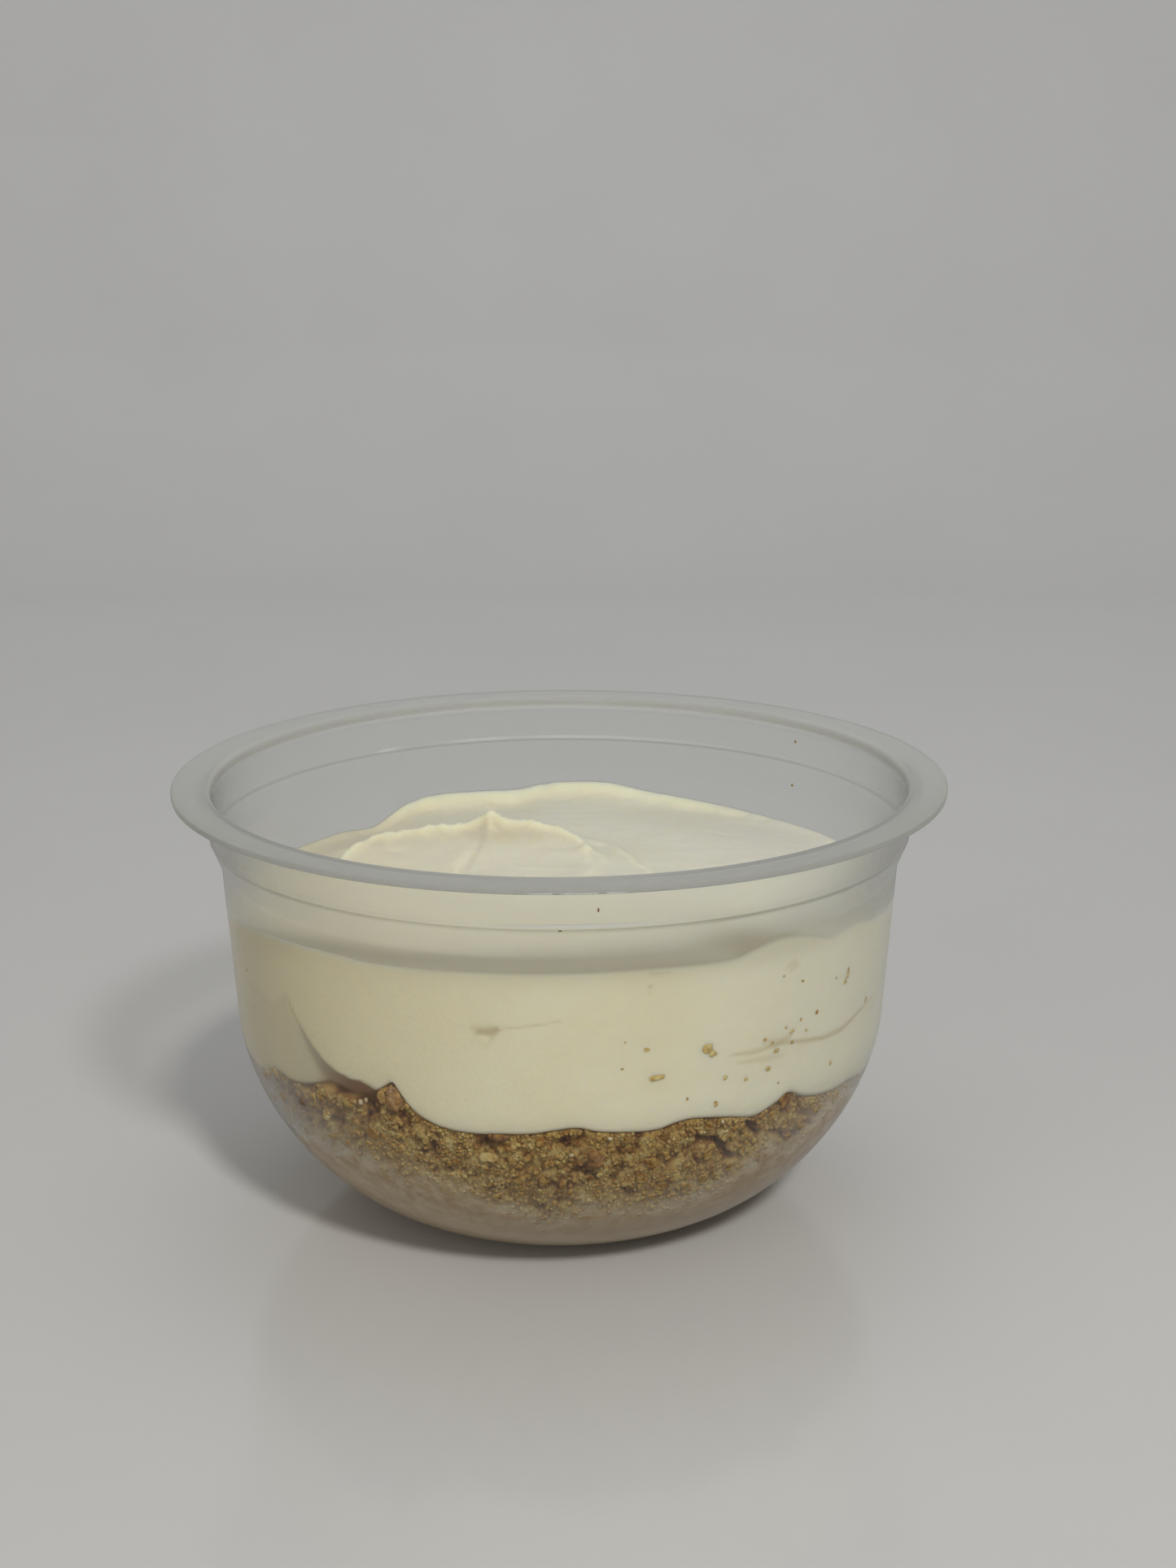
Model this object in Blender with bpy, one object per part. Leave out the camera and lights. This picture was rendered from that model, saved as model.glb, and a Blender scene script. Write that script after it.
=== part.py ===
# Cheesecake pot: a clear plastic dessert pot with a bed of biscuit crumb under cheesecake cream.
# Three solids: the pot, the crumb bed that fills its round foot, and the cream up to its uneven top.
# Metres, +Z up, origin at the middle of the pot's flat base, front of the pot towards -Y.

import math

import bmesh
import bpy

MM = 0.001

# Pot
RIM_RADIUS = 47.5 * MM
POT_HEIGHT = 54.0 * MM
WALL = 0.6 * MM
FLANGE_THICKNESS = 0.75 * MM
EDGE_ROUNDING = 0.1 * MM
NECK_RADIUS = 43.35 * MM        # outer radius under the flange
LEDGE_RADIUS = 43.1 * MM        # outer radius at the upper edge of the stacking ledge
LEDGE_HEIGHT = 47.9 * MM
LEDGE_DEPTH = 3.7 * MM          # height of the sloping step below that edge
LEDGE_HOLLOW = 1.25             # exponent of the step's slightly hollow slope
SHOULDER_RADIUS = 41.75 * MM    # outer radius at the foot of the step
DRAFT = 0.071                   # inward lean of the wall for each unit of height
BOWL_HEIGHT = 25.1 * MM         # where the straight wall turns into the round foot
BOWL_EXPONENT = 1.87            # superellipse exponent of the round foot
BASE_RADIUS = 16.0 * MM
FLANGE_FILLET = 1.5 * MM        # under the flange
FLANGE_BEND = 0.8 * MM          # above, where the flange turns down into the wall

# Contents
GAP = 0.3 * MM                  # clearance between neighbouring solids
CREAM_MIDDLE = 41.4 * MM        # level of the cream away from wall and ridge
CREAM_SLOPE = 0.012             # rise of that level towards the back
BED_MIDDLE = 22.3 * MM          # level of the crumb bed away from the wall
BLEND_START = 0.62              # share of the radius where the tops start to follow their edge
RIDGE_CENTRE = (-11.5 * MM, 0.5 * MM)
RIDGE_RADIUS = 15.0 * MM
RIDGE_HEIGHT = 3.4 * MM
RIDGE_BEARING = 97.0            # direction of the ridge's peak from its centre, degrees from +X
RIDGE_SPREAD = 62.0             # degrees each side of the peak
RIDGE_BACK = 2.6 * MM           # width of the steep side behind the crest
RIDGE_FRONT = 7.0 * MM          # width of the long slope in front of it
LIP_HEIGHT = 0.5 * MM           # bead that the cream draws up along the far wall
LIP_WIDTH = 2.6 * MM
LIP_SPREAD = 40.0               # degrees each side of the back
RECESS_DEPTH = 2.0 * MM         # how far the cream stands off the wall, low on the left
RECESS_BEARING = -66.0
RECESS_SPREAD = 20.0            # degrees each side
RECESS_TOP = 36.0 * MM
RECESS_FULL = 28.0 * MM

# Heights in mm against the wall by bearing in degrees: 0 is the front, positive to the right.
CREAM_EDGE = (
    (-160, 41.5), (-141, 38.6), (-120, 38.7), (-100, 38.6), (-77, 39.2), (-52, 41.5), (-11, 42.3), (14, 42.5),
    (28, 42.3), (37, 43.5), (50, 41.8), (68, 40.7), (95, 40.0), (119, 40.1), (146, 40.8), (170, 42.3),
)
BED_EDGE = (
    (-170, 21.8), (-125, 22.6), (-80, 22.4), (-57, 23.3), (-36, 21.8), (-28, 24.2), (-14, 22.6), (2, 23.6),
    (12, 22.8), (22, 23.6), (34, 22.2), (41, 23.7), (52, 21.5), (70, 19.8), (95, 20.6), (140, 22.2),
)

SEGMENTS = 60
BOWL_STEPS = 9
LEDGE_STEPS = 3
BEND_STEPS = 3
BED_RINGS = 6
BED_ROWS = 7
CREAM_RINGS = 9
CREAM_ROWS = 6
SMOOTH_ANGLE = math.radians(35)

POT_COLOUR = (0.72, 0.73, 0.71, 1.0)
CRUMB_COLOUR = (0.36, 0.24, 0.12, 1.0)
CREAM_COLOUR = (0.86, 0.81, 0.62, 1.0)


def smoothstep(low, high, value):
    t = min(max((value - low) / (high - low), 0.0), 1.0)
    return t * t * (3.0 - 2.0 * t)


def bell(distance, width):
    return math.exp(-(distance / width) ** 2)


def turn_between(bearing, other):
    return (bearing - other + 180.0) % 360.0 - 180.0


def around(landmarks, bearing):
    """Height at a bearing, on a smooth closed curve through the landmarks."""
    count = len(landmarks)
    for i in range(count):
        here, height = landmarks[i]
        after, height_after = landmarks[(i + 1) % count]
        span = (after - here) % 360.0
        offset = (bearing - here) % 360.0
        if offset <= span:
            break
    before, height_before = landmarks[i - 1]
    beyond, height_beyond = landmarks[(i + 2) % count]
    slope = (height_after - height_before) / ((after - before) % 360.0)
    slope_after = (height_beyond - height) / ((beyond - here) % 360.0)
    t = offset / span
    rise = (2 * t ** 3 - 3 * t ** 2) * (height - height_after) + height
    bend = (t ** 3 - 2 * t ** 2 + t) * slope + (t ** 3 - t ** 2) * slope_after
    return (rise + bend * span) * MM


# Pot wall

def wall_line(z):
    """Radius of the straight, drafted wall outside."""
    return SHOULDER_RADIUS - (LEDGE_HEIGHT - LEDGE_DEPTH - z) * DRAFT


def outer_profile():
    """Outer side of the pot up to the flange's underside, as (radius, height)."""
    points = [(BASE_RADIUS, 0.0)]
    for step in range(1, BOWL_STEPS + 1):
        angle = 0.5 * math.pi * step / BOWL_STEPS
        z = BOWL_HEIGHT * (1.0 - math.cos(angle) ** (2.0 / BOWL_EXPONENT))
        share = math.sin(angle) ** (2.0 / BOWL_EXPONENT)
        points.append((BASE_RADIUS + (wall_line(z) - BASE_RADIUS) * share, z))
    shoulder = LEDGE_HEIGHT - LEDGE_DEPTH
    points.append((wall_line(0.5 * (BOWL_HEIGHT + shoulder)), 0.5 * (BOWL_HEIGHT + shoulder)))
    for step in range(LEDGE_STEPS + 1):
        share = step / LEDGE_STEPS
        radius = SHOULDER_RADIUS + (LEDGE_RADIUS - SHOULDER_RADIUS) * share ** LEDGE_HOLLOW
        points.append((radius, shoulder + LEDGE_DEPTH * share))
    underside = POT_HEIGHT - FLANGE_THICKNESS
    for step in range(BEND_STEPS + 1):
        angle = 0.5 * math.pi * step / BEND_STEPS
        radius = NECK_RADIUS + FLANGE_FILLET * (1.0 - math.cos(angle))
        points.append((radius, underside - FLANGE_FILLET * (1.0 - math.sin(angle))))
    return points


def offset_inwards(points, distance):
    """The profile moved towards the inside of the pot by a distance, square to itself."""
    moved = []
    for i, (radius, z) in enumerate(points):
        r0, z0 = points[max(i - 1, 0)]
        r1, z1 = points[min(i + 1, len(points) - 1)]
        length = math.hypot(r1 - r0, z1 - z0)
        moved.append((radius - (z1 - z0) / length * distance, z + (r1 - r0) / length * distance))
    moved[0] = (points[0][0], distance)
    return moved


def pot_profile():
    """Closed section of the pot from the axis outside to the axis inside."""
    outside = outer_profile()
    inside = [point for point in offset_inwards(outside, WALL) if point[1] < POT_HEIGHT - 2.5 * FLANGE_BEND]
    neck = NECK_RADIUS - WALL
    edge = RIM_RADIUS - EDGE_ROUNDING
    rim = [
        (edge, POT_HEIGHT - FLANGE_THICKNESS),
        (RIM_RADIUS, POT_HEIGHT - FLANGE_THICKNESS + EDGE_ROUNDING),
        (RIM_RADIUS, POT_HEIGHT - EDGE_ROUNDING),
        (edge, POT_HEIGHT),
    ]
    for step in range(BEND_STEPS + 1):
        angle = 0.5 * math.pi * step / BEND_STEPS
        radius = neck + FLANGE_BEND * (1.0 - math.sin(angle))
        rim.append((radius, POT_HEIGHT - FLANGE_BEND * (1.0 - math.cos(angle))))
    return [(0.0, 0.0)] + outside + rim + inside[::-1] + [(0.0, WALL)]


CONTENTS_SIDE = offset_inwards(outer_profile(), WALL + GAP)
FLOOR = WALL + GAP


def side_radius(z):
    """How far out the contents reach at a height."""
    for (r0, z0), (r1, z1) in zip(CONTENTS_SIDE, CONTENTS_SIDE[1:]):
        if z <= z1:
            return r0 + (r1 - r0) * max(z - z0, 0.0) / (z1 - z0)
    return CONTENTS_SIDE[-1][0]


# Contents

def polar(x, y):
    return math.hypot(x, y), math.degrees(math.atan2(x, -y))


def ridge(x, y):
    """The arched crest that the spoon left: steep behind, a long slope in front."""
    dx = x - RIDGE_CENTRE[0]
    dy = y - RIDGE_CENTRE[1]
    outwards = math.hypot(dx, dy) - RIDGE_RADIUS
    turn = turn_between(math.degrees(math.atan2(dy, dx)), RIDGE_BEARING)
    width = RIDGE_BACK if outwards > 0.0 else RIDGE_FRONT
    return RIDGE_HEIGHT * bell(outwards, width) * bell(turn, RIDGE_SPREAD)


def cream_top(x, y, reach):
    radius, bearing = polar(x, y)
    follow = smoothstep(BLEND_START, 1.0, radius / reach)
    level = CREAM_MIDDLE + CREAM_SLOPE * y
    level += (around(CREAM_EDGE, bearing) - level) * follow
    lip = LIP_HEIGHT * bell(reach - radius, LIP_WIDTH) * bell(turn_between(bearing, 180.0), LIP_SPREAD)
    return level + lip + ridge(x, y) * (1.0 - follow)


def bed_top(x, y, reach):
    radius, bearing = polar(x, y)
    follow = smoothstep(BLEND_START, 1.0, radius / reach)
    return BED_MIDDLE + (around(BED_EDGE, bearing) - BED_MIDDLE) * follow


def cream_recess(bearing, z):
    """How far the cream stands off the wall."""
    turn = bell(turn_between(bearing, RECESS_BEARING), RECESS_SPREAD)
    return RECESS_DEPTH * turn * (1.0 - smoothstep(RECESS_FULL, RECESS_TOP, z))


def ring_points(radius_at, height_at):
    """One ring round the axis, its radius and height both worked out from the bearing."""
    ring = []
    for i in range(SEGMENTS):
        bearing = 360.0 * i / SEGMENTS
        radius = radius_at(bearing)
        x = radius * math.sin(math.radians(bearing))
        y = -radius * math.cos(math.radians(bearing))
        ring.append((x, y, height_at(bearing, x, y)))
    return ring


def bed_edge_height(bearing):
    return around(BED_EDGE, bearing)


def cream_edge_radius(bearing):
    return side_radius(around(CREAM_EDGE, bearing))


def bed_edge_radius(bearing):
    return side_radius(bed_edge_height(bearing))


def cream_foot_height(bearing):
    """Height of the cream's lower edge, a gap above the straight run of the crumb's outermost ring."""
    edge = bed_edge_height(bearing)
    reach = bed_edge_radius(bearing)
    radius = reach * (BED_RINGS - 1) / BED_RINGS
    x = radius * math.sin(math.radians(bearing))
    y = -radius * math.cos(math.radians(bearing))
    inner = bed_top(x, y, reach)
    return edge + (inner - edge) * cream_recess(bearing, edge) / (reach - radius) + GAP


def bed_rings():
    """Crumb bed, from the middle of its top out to the wall and down to the middle of its floor."""
    rings = []
    for i in range(1, BED_RINGS + 1):
        share = i / BED_RINGS
        rings.append(ring_points(
            lambda bearing: share * bed_edge_radius(bearing),
            lambda bearing, x, y: bed_top(x, y, bed_edge_radius(bearing))))
    for i in range(1, BED_ROWS + 1):
        share = (1.0 - i / BED_ROWS) ** 1.5
        rings.append(ring_points(
            lambda bearing: side_radius(FLOOR + (bed_edge_height(bearing) - FLOOR) * share),
            lambda bearing, x, y: FLOOR + (bed_edge_height(bearing) - FLOOR) * share))
    return rings, bed_top(0.0, 0.0, side_radius(BED_MIDDLE)), FLOOR


def cream_rings():
    """Cream, from the middle of its top out to the wall, down it and back under along the crumb."""
    rings = []
    for i in range(1, CREAM_RINGS + 1):
        share = i / CREAM_RINGS
        rings.append(ring_points(
            lambda bearing: share * cream_edge_radius(bearing),
            lambda bearing, x, y: cream_top(x, y, cream_edge_radius(bearing))))
    for i in range(1, CREAM_ROWS + 1):
        share = i / CREAM_ROWS

        def row_height(bearing, x=0.0, y=0.0):
            top = around(CREAM_EDGE, bearing)
            return top + (cream_foot_height(bearing) - top) * share

        def row_radius(bearing):
            z = row_height(bearing)
            return side_radius(z) - cream_recess(bearing, z)

        rings.append(ring_points(row_radius, row_height))
    for i in range(BED_RINGS - 1, 0, -1):
        share = i / BED_RINGS
        rings.append(ring_points(
            lambda bearing: share * bed_edge_radius(bearing),
            lambda bearing, x, y: bed_top(x, y, bed_edge_radius(bearing)) + GAP))
    middle = side_radius(BED_MIDDLE)
    return rings, cream_top(0.0, 0.0, middle), bed_top(0.0, 0.0, middle) + GAP


def make_material(name, colour, roughness):
    material = bpy.data.materials.new(name)
    material.use_nodes = True
    shader = material.node_tree.nodes["Principled BSDF"]
    shader.inputs["Base Color"].default_value = colour
    shader.inputs["Roughness"].default_value = roughness
    shader.inputs["Metallic"].default_value = 0.0
    return material


def finish_object(bm, name, material, parent):
    bmesh.ops.recalc_face_normals(bm, faces=bm.faces)
    mesh = bpy.data.meshes.new(name)
    bm.to_mesh(mesh)
    bm.free()
    mesh.shade_smooth()
    mesh.set_sharp_from_angle(angle=SMOOTH_ANGLE)
    mesh.materials.append(material)
    obj = bpy.data.objects.new(name, mesh)
    obj.parent = parent
    bpy.context.collection.objects.link(obj)
    return obj


def turned_object(name, profile, material, parent):
    """A section from the axis round to the axis again, spun into a closed body."""
    bm = bmesh.new()
    verts = [bm.verts.new((radius, 0.0, z)) for radius, z in profile]
    edges = [bm.edges.new(pair) for pair in zip(verts, verts[1:])]
    bmesh.ops.spin(
        bm, geom=verts + edges, cent=(0.0, 0.0, 0.0), axis=(0.0, 0.0, 1.0),
        angle=2.0 * math.pi, steps=SEGMENTS, use_merge=True)
    bmesh.ops.remove_doubles(bm, verts=bm.verts, dist=0.001 * MM)
    return finish_object(bm, name, material, parent)


def filled_object(name, rings, top, floor, material, parent):
    """Rings bridged one after the other, closed by a fan at each end.

    Every diagonal runs from the narrower ring to the wider one, so that the crumb's top and the
    cream's underside, which share their rings, are cut into the same triangles.
    """
    bm = bmesh.new()
    loops = [[bm.verts.new(point) for point in ring] for ring in rings]
    for pair in zip(loops, loops[1:]):
        narrow, wide = sorted(pair, key=lambda loop: math.hypot(loop[0].co.x, loop[0].co.y))
        for i in range(SEGMENTS):
            j = (i + 1) % SEGMENTS
            bm.faces.new((narrow[i], wide[i], wide[j]))
            bm.faces.new((narrow[i], wide[j], narrow[j]))
    for loop, height in ((loops[0], top), (loops[-1], floor)):
        pole = bm.verts.new((0.0, 0.0, height))
        for i in range(SEGMENTS):
            bm.faces.new((pole, loop[i], loop[(i + 1) % SEGMENTS]))
    return finish_object(bm, name, material, parent)


def main():
    for obj in list(bpy.data.objects):
        bpy.data.objects.remove(obj)

    frame = bpy.data.objects.new("cheesecake_pot", None)
    bpy.context.collection.objects.link(frame)

    pot_finish = make_material("clear_plastic", POT_COLOUR, 0.25)
    crumb_finish = make_material("biscuit_crumb", CRUMB_COLOUR, 0.9)
    cream_finish = make_material("cheesecake_cream", CREAM_COLOUR, 0.5)

    turned_object("pot", pot_profile(), pot_finish, frame)
    filled_object("biscuit_base", *bed_rings(), crumb_finish, frame)
    filled_object("cream", *cream_rings(), cream_finish, frame)


main()
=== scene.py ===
import math

import bmesh
import bpy
import numpy as np
from mathutils import Matrix, Vector


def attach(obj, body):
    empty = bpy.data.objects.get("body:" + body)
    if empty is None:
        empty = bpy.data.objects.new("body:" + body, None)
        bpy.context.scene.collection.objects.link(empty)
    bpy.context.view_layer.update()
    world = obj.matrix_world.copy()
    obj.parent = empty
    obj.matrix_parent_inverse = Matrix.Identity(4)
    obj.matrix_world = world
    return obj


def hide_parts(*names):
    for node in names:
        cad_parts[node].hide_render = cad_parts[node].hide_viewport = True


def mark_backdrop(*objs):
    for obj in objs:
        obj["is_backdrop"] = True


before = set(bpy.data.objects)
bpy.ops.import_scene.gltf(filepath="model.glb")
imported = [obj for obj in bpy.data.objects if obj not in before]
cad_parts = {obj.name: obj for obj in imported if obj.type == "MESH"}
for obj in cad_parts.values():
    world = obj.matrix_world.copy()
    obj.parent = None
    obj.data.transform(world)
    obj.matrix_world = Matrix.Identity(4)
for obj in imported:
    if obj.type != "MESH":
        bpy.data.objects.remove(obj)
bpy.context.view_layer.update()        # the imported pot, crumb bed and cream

# Everything below is worked out in millimetres and scaled once, when a mesh is made.
# Bearings are degrees round the pot: 0 is the front (-Y), positive to the right.
mm = 0.001
print("frame loaded", sorted(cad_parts))


# small helpers

def ease(low, high, value):
    t = np.clip((value - low) / (high - low), 0.0, 1.0)
    return t * t * (3.0 - 2.0 * t)


def bell(distance, width):
    return np.exp(-(distance / width) ** 2)


def shares(count):
    # equal steps up to 1
    return np.linspace(0.0, 1.0, count + 1)[1:]


def evenBearings(count):
    # from the front round by the left, so that faces between rings point outwards
    return -360.0 * np.arange(count) / count


def aroundPot(marks, bearing):
    # smooth closed curve through (bearing, value) marks
    turns = np.array([m[0] for m in marks], float)
    values = np.array([m[1] for m in marks], float)
    order = np.argsort(turns % 360.0)
    turns, values = turns[order] % 360.0, values[order]
    count = len(turns)
    wanted = np.asarray(bearing, float) % 360.0
    here = (np.searchsorted(turns, wanted, side="right") - 1) % count
    after, before, beyond = (here + 1) % count, (here - 1) % count, (here + 2) % count
    span = (turns[after] - turns[here]) % 360.0
    t = ((wanted - turns[here]) % 360.0) / span
    slope = (values[after] - values[before]) / ((turns[after] - turns[before]) % 360.0)
    slopeAfter = (values[beyond] - values[here]) / ((turns[beyond] - turns[here]) % 360.0)
    rise = values[here] + (3 * t ** 2 - 2 * t ** 3) * (values[after] - values[here])
    return rise + ((t ** 3 - 2 * t ** 2 + t) * slope + (t ** 3 - t ** 2) * slopeAfter) * span


def polar(x, y):
    # (distance from the axis, bearing)
    return np.hypot(x, y), np.degrees(np.arctan2(x, -y))


def flatPoints(x, y):
    return np.stack(np.broadcast_arrays(x, y, 0.0 * x), -1)


def spot(radius, bearing, z):
    a = np.radians(bearing)
    return np.stack(np.broadcast_arrays(radius * np.sin(a), -radius * np.cos(a), z), -1)


def latticeHash(cells, seed):
    # one steady pseudo-random number from 0 to 1 for each whole-number cell
    n = cells[..., 0] * 73856093 ^ cells[..., 1] * 19349663 ^ cells[..., 2] * 83492791 ^ seed * 2654435761
    n = (n ^ (n >> 13)) * 1274126177
    n = (n ^ (n >> 16)) & 0xFFFFFF
    return n / float(0xFFFFFF)


def softNoise(points, size, seed, octaves=1):
    # value noise from -1 to 1, its lumps about `size` across
    total, weight = 0.0, 0.0
    for octave in range(octaves):
        share = 0.5 ** octave
        p = np.asarray(points, float) / (size * share) + 31.7 * octave
        base = np.floor(p).astype(np.int64)
        f = p - base
        f = f * f * f * (f * (f * 6 - 15) + 10)
        value = 0.0
        for corner in range(8):
            step = np.array([corner & 1, corner >> 1 & 1, corner >> 2 & 1])
            w = np.prod(np.where(step, f, 1.0 - f), axis=-1)
            value = value + w * latticeHash(base + step, seed + octave)
        total = total + share * (2.0 * value - 1.0)
        weight += share
    return total / weight


def pebbles(points, size, seed):
    # rounded lumps packed side by side: 1 on a lump's crown, 0 in the gaps between
    p = np.asarray(points, float) / size
    base = np.floor(p).astype(np.int64)
    nearest = np.full(p.shape[:-1], 9.0)
    for i in range(27):
        step = np.array([i % 3 - 1, i // 3 % 3 - 1, i // 9 - 1])
        cell = base + step
        jitter = np.stack([latticeHash(cell, seed + k) for k in (1, 2, 3)], -1)
        nearest = np.minimum(nearest, np.linalg.norm(cell + jitter - p, axis=-1))
    return np.clip(1.0 - (nearest / 0.85) ** 2, 0.0, 1.0)


def makeObject(name, points, faces, material):
    mesh = bpy.data.meshes.new(name)
    mesh.from_pydata((np.asarray(points) * mm).tolist(), [], faces)
    mesh.update()
    mesh.shade_smooth()
    mesh.materials.append(material)
    obj = bpy.data.objects.new(name, mesh)
    bpy.context.scene.collection.objects.link(obj)
    return obj


def bridge(a, countA, b, countB):
    # faces between two rings, of equal count or one with twice the points of the other
    if countA == countB:
        i = np.arange(countA)
        j = (i + 1) % countA
        return np.stack([a + i, b + i, b + j, a + j], 1).tolist()
    i = np.arange(min(countA, countB))
    j, mid, far = (i + 1) % len(i), 2 * i + 1, (2 * i + 2) % (2 * len(i))
    if countB > countA:
        parts = ((a + i, b + 2 * i, b + mid), (a + i, b + mid, a + j), (a + j, b + mid, b + far))
    else:
        parts = ((b + i, a + mid, a + 2 * i), (b + i, b + j, a + mid), (b + j, a + far, a + mid))
    return np.concatenate([np.stack(p, 1) for p in parts]).tolist()


def ringObject(name, rings, startPole, endPole, material):
    # rings bridged in turn, each end closed to a point on the axis
    points = np.concatenate([np.asarray(r) for r in rings] + [[startPole], [endPole]])
    counts = [len(r) for r in rings]
    starts = np.concatenate([[0], np.cumsum(counts)]).tolist()
    faces = []
    for k in range(len(rings) - 1):
        faces += bridge(starts[k], counts[k], starts[k + 1], counts[k + 1])
    for ring, pole, flip in ((0, len(points) - 2, False), (len(rings) - 1, len(points) - 1, True)):
        i = starts[ring] + np.arange(counts[ring])
        j = starts[ring] + (np.arange(counts[ring]) + 1) % counts[ring]
        if flip:
            i, j = j, i
        faces += np.stack([np.full(counts[ring], pole), i, j], 1).tolist()
    return makeObject(name, points, faces, material)


def storeValues(obj, name, values):
    layer = obj.data.attributes.new(name, "FLOAT", "POINT")
    layer.data.foreach_set("value", np.asarray(values, np.float32))


def readValues(obj, name):
    values = np.zeros(len(obj.data.vertices))
    obj.data.attributes[name].data.foreach_get("value", values)
    return values


def storeRings(obj, named, poles):
    # values noted ring by ring, and those of the two poles where they aren't 0
    for name, rings in named.items():
        storeValues(obj, name, np.concatenate(rings + [poles.get(name, (0.0, 0.0))]))


def pathDistance(points, path):
    # (distance to a polyline, how far along it from 0 to 1)
    points, path = np.asarray(points, float), np.asarray(path, float)
    nearest = np.full(points.shape[:-1], 1e6)
    along = np.zeros(points.shape[:-1])
    for k in range(len(path) - 1):
        start, run = path[k], path[k + 1] - path[k]
        t = np.clip(((points - start) @ run) / (run @ run), 0.0, 1.0)
        away = np.linalg.norm(points - start - t[..., None] * run, axis=-1)
        closer = away < nearest
        nearest = np.where(closer, away, nearest)
        along = np.where(closer, (k + t) / (len(path) - 1), along)
    return nearest, along


def carry(obj, slotName, *nodes):
    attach(obj, "root")
    if nodes:
        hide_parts(*nodes)
    print("piece", obj.name, len(obj.data.polygons), "faces")


# shader maths

class Wire:
    # a material's output socket; sums and products of wires add the nodes they need
    def __init__(self, tree, socket=None):
        self.tree, self.socket = tree, socket

    def node(self, kind, settings=None, sockets=None, output=0):
        made = self.tree.nodes.new(kind)
        for key, value in (settings or {}).items():
            if key == "stops":
                ramp = made.color_ramp
                while len(ramp.elements) < len(value):
                    ramp.elements.new(0.5)
                for element, (position, colour) in zip(ramp.elements, value):
                    element.position = position
                    element.color = colour
            else:
                setattr(made, key, value)
        for key, value in (sockets or {}).items():
            if isinstance(value, Wire):
                self.tree.links.new(value.socket, made.inputs[key])
            else:
                made.inputs[key].default_value = value
        return Wire(self.tree, made.outputs[output] if len(made.outputs) else None)

    def maths(self, operation, *values):
        return self.node("ShaderNodeMath", {"operation": operation}, dict(enumerate(values)))

    def __add__(self, other):
        return self.maths("ADD", self, other)

    def __sub__(self, other):
        return self.maths("SUBTRACT", self, other)

    def __mul__(self, other):
        return self.maths("MULTIPLY", self, other)

    def __pow__(self, other):
        return self.maths("POWER", self, other)

    def __rsub__(self, other):
        return self.maths("SUBTRACT", other, self)

    __radd__ = __add__
    __rmul__ = __mul__

    def parts(self):
        # the x, y and z of a vector
        split = self.tree.nodes.new("ShaderNodeSeparateXYZ")
        self.tree.links.new(self.socket, split.inputs[0])
        return [Wire(self.tree, out) for out in split.outputs]

    def peak(self, width):
        # 1 where this is 0, fading to 0 over `width` either side
        return self.maths("ABSOLUTE", self).between(width, 0.25 * width)

    def between(self, low, high):
        # smooth step from 0 at `low` to 1 at `high`
        return self.node(
            "ShaderNodeMapRange", {"interpolation_type": "SMOOTHSTEP"},
            {"Value": self, "From Min": low, "From Max": high})

    def blend(self, first, second):
        # this wire picks between two colours
        return self.node(
            "ShaderNodeMix", {"data_type": "RGBA"}, {0: self, 6: first, 7: second}, output=2)

    def choose(self, first, second):
        # this wire picks between two shaders
        return self.node("ShaderNodeMixShader", {}, {0: self, 1: first, 2: second})

    def stored(self, name):
        # a value kept on the mesh's points
        return self.node("ShaderNodeAttribute", {"attribute_name": name}, output="Fac")

    def principled(self, sockets):
        return self.node("ShaderNodeBsdfPrincipled", {}, sockets)

    def show(self, shader):
        self.node("ShaderNodeOutputMaterial", {}, {"Surface": shader})


def colour(r, g, b):
    # sRGB 0-255 to the linear colour a shader takes
    def linear(v):
        v = v / 255.0
        return v / 12.92 if v <= 0.04045 else ((v + 0.055) / 1.055) ** 2.4
    return (linear(r), linear(g), linear(b), 1.0)


def newMaterial(name):
    material = bpy.data.materials.new(name)
    material.use_nodes = True
    material.node_tree.nodes.clear()
    wire = Wire(material.node_tree)
    place = wire.node("ShaderNodeTexCoord", output="Object")
    return material, wire, place


def noiseAt(place, size, detail=2.0, roughness=0.5, output=0):
    return place.node("ShaderNodeTexNoise", {}, {
        "Vector": place, "Scale": 1.0 / (size * mm), "Detail": detail, "Roughness": roughness}, output)


def cellsAt(place, size):
    return place.node("ShaderNodeTexVoronoi", {}, {"Vector": place, "Scale": 1.0 / (size * mm)})


def bumpFrom(height, depth, normal=None):
    sockets = {"Height": height, "Strength": 1.0, "Distance": depth * mm}
    if normal is not None:
        sockets["Normal"] = normal
    return height.node("ShaderNodeBump", {}, sockets)


# pot

potSize = {
    "rimRadius": 47.5, "height": 54.0, "wall": 0.6,
    "flangeThickness": 0.75, "edgeRounding": 0.14,
    "neckRadius": 43.35, "flangeFillet": 1.5, "flangeBend": 0.8,
    "ledgeRadius": 43.1, "ledgeHeight": 47.9, "ledgeDepth": 3.7, "ledgeHollow": 1.25,
    "shoulderRadius": 41.75, "draft": 0.071,
    "bowlHeight": 25.1, "bowlExponent": 1.87, "baseRadius": 16.0,
    "insideStop": 2.2,        # bends under the brim where the wall's inside gives way to the rim
    "bite": 0.1,              # how far the contents reach into the wall
    "segments": 256, "bowlSteps": 40, "wallSteps": 8, "ledgeSteps": 8, "bendSteps": 8,
}


def wallLine(z):
    p = potSize
    return p["shoulderRadius"] - (p["ledgeHeight"] - p["ledgeDepth"] - z) * p["draft"]


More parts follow.
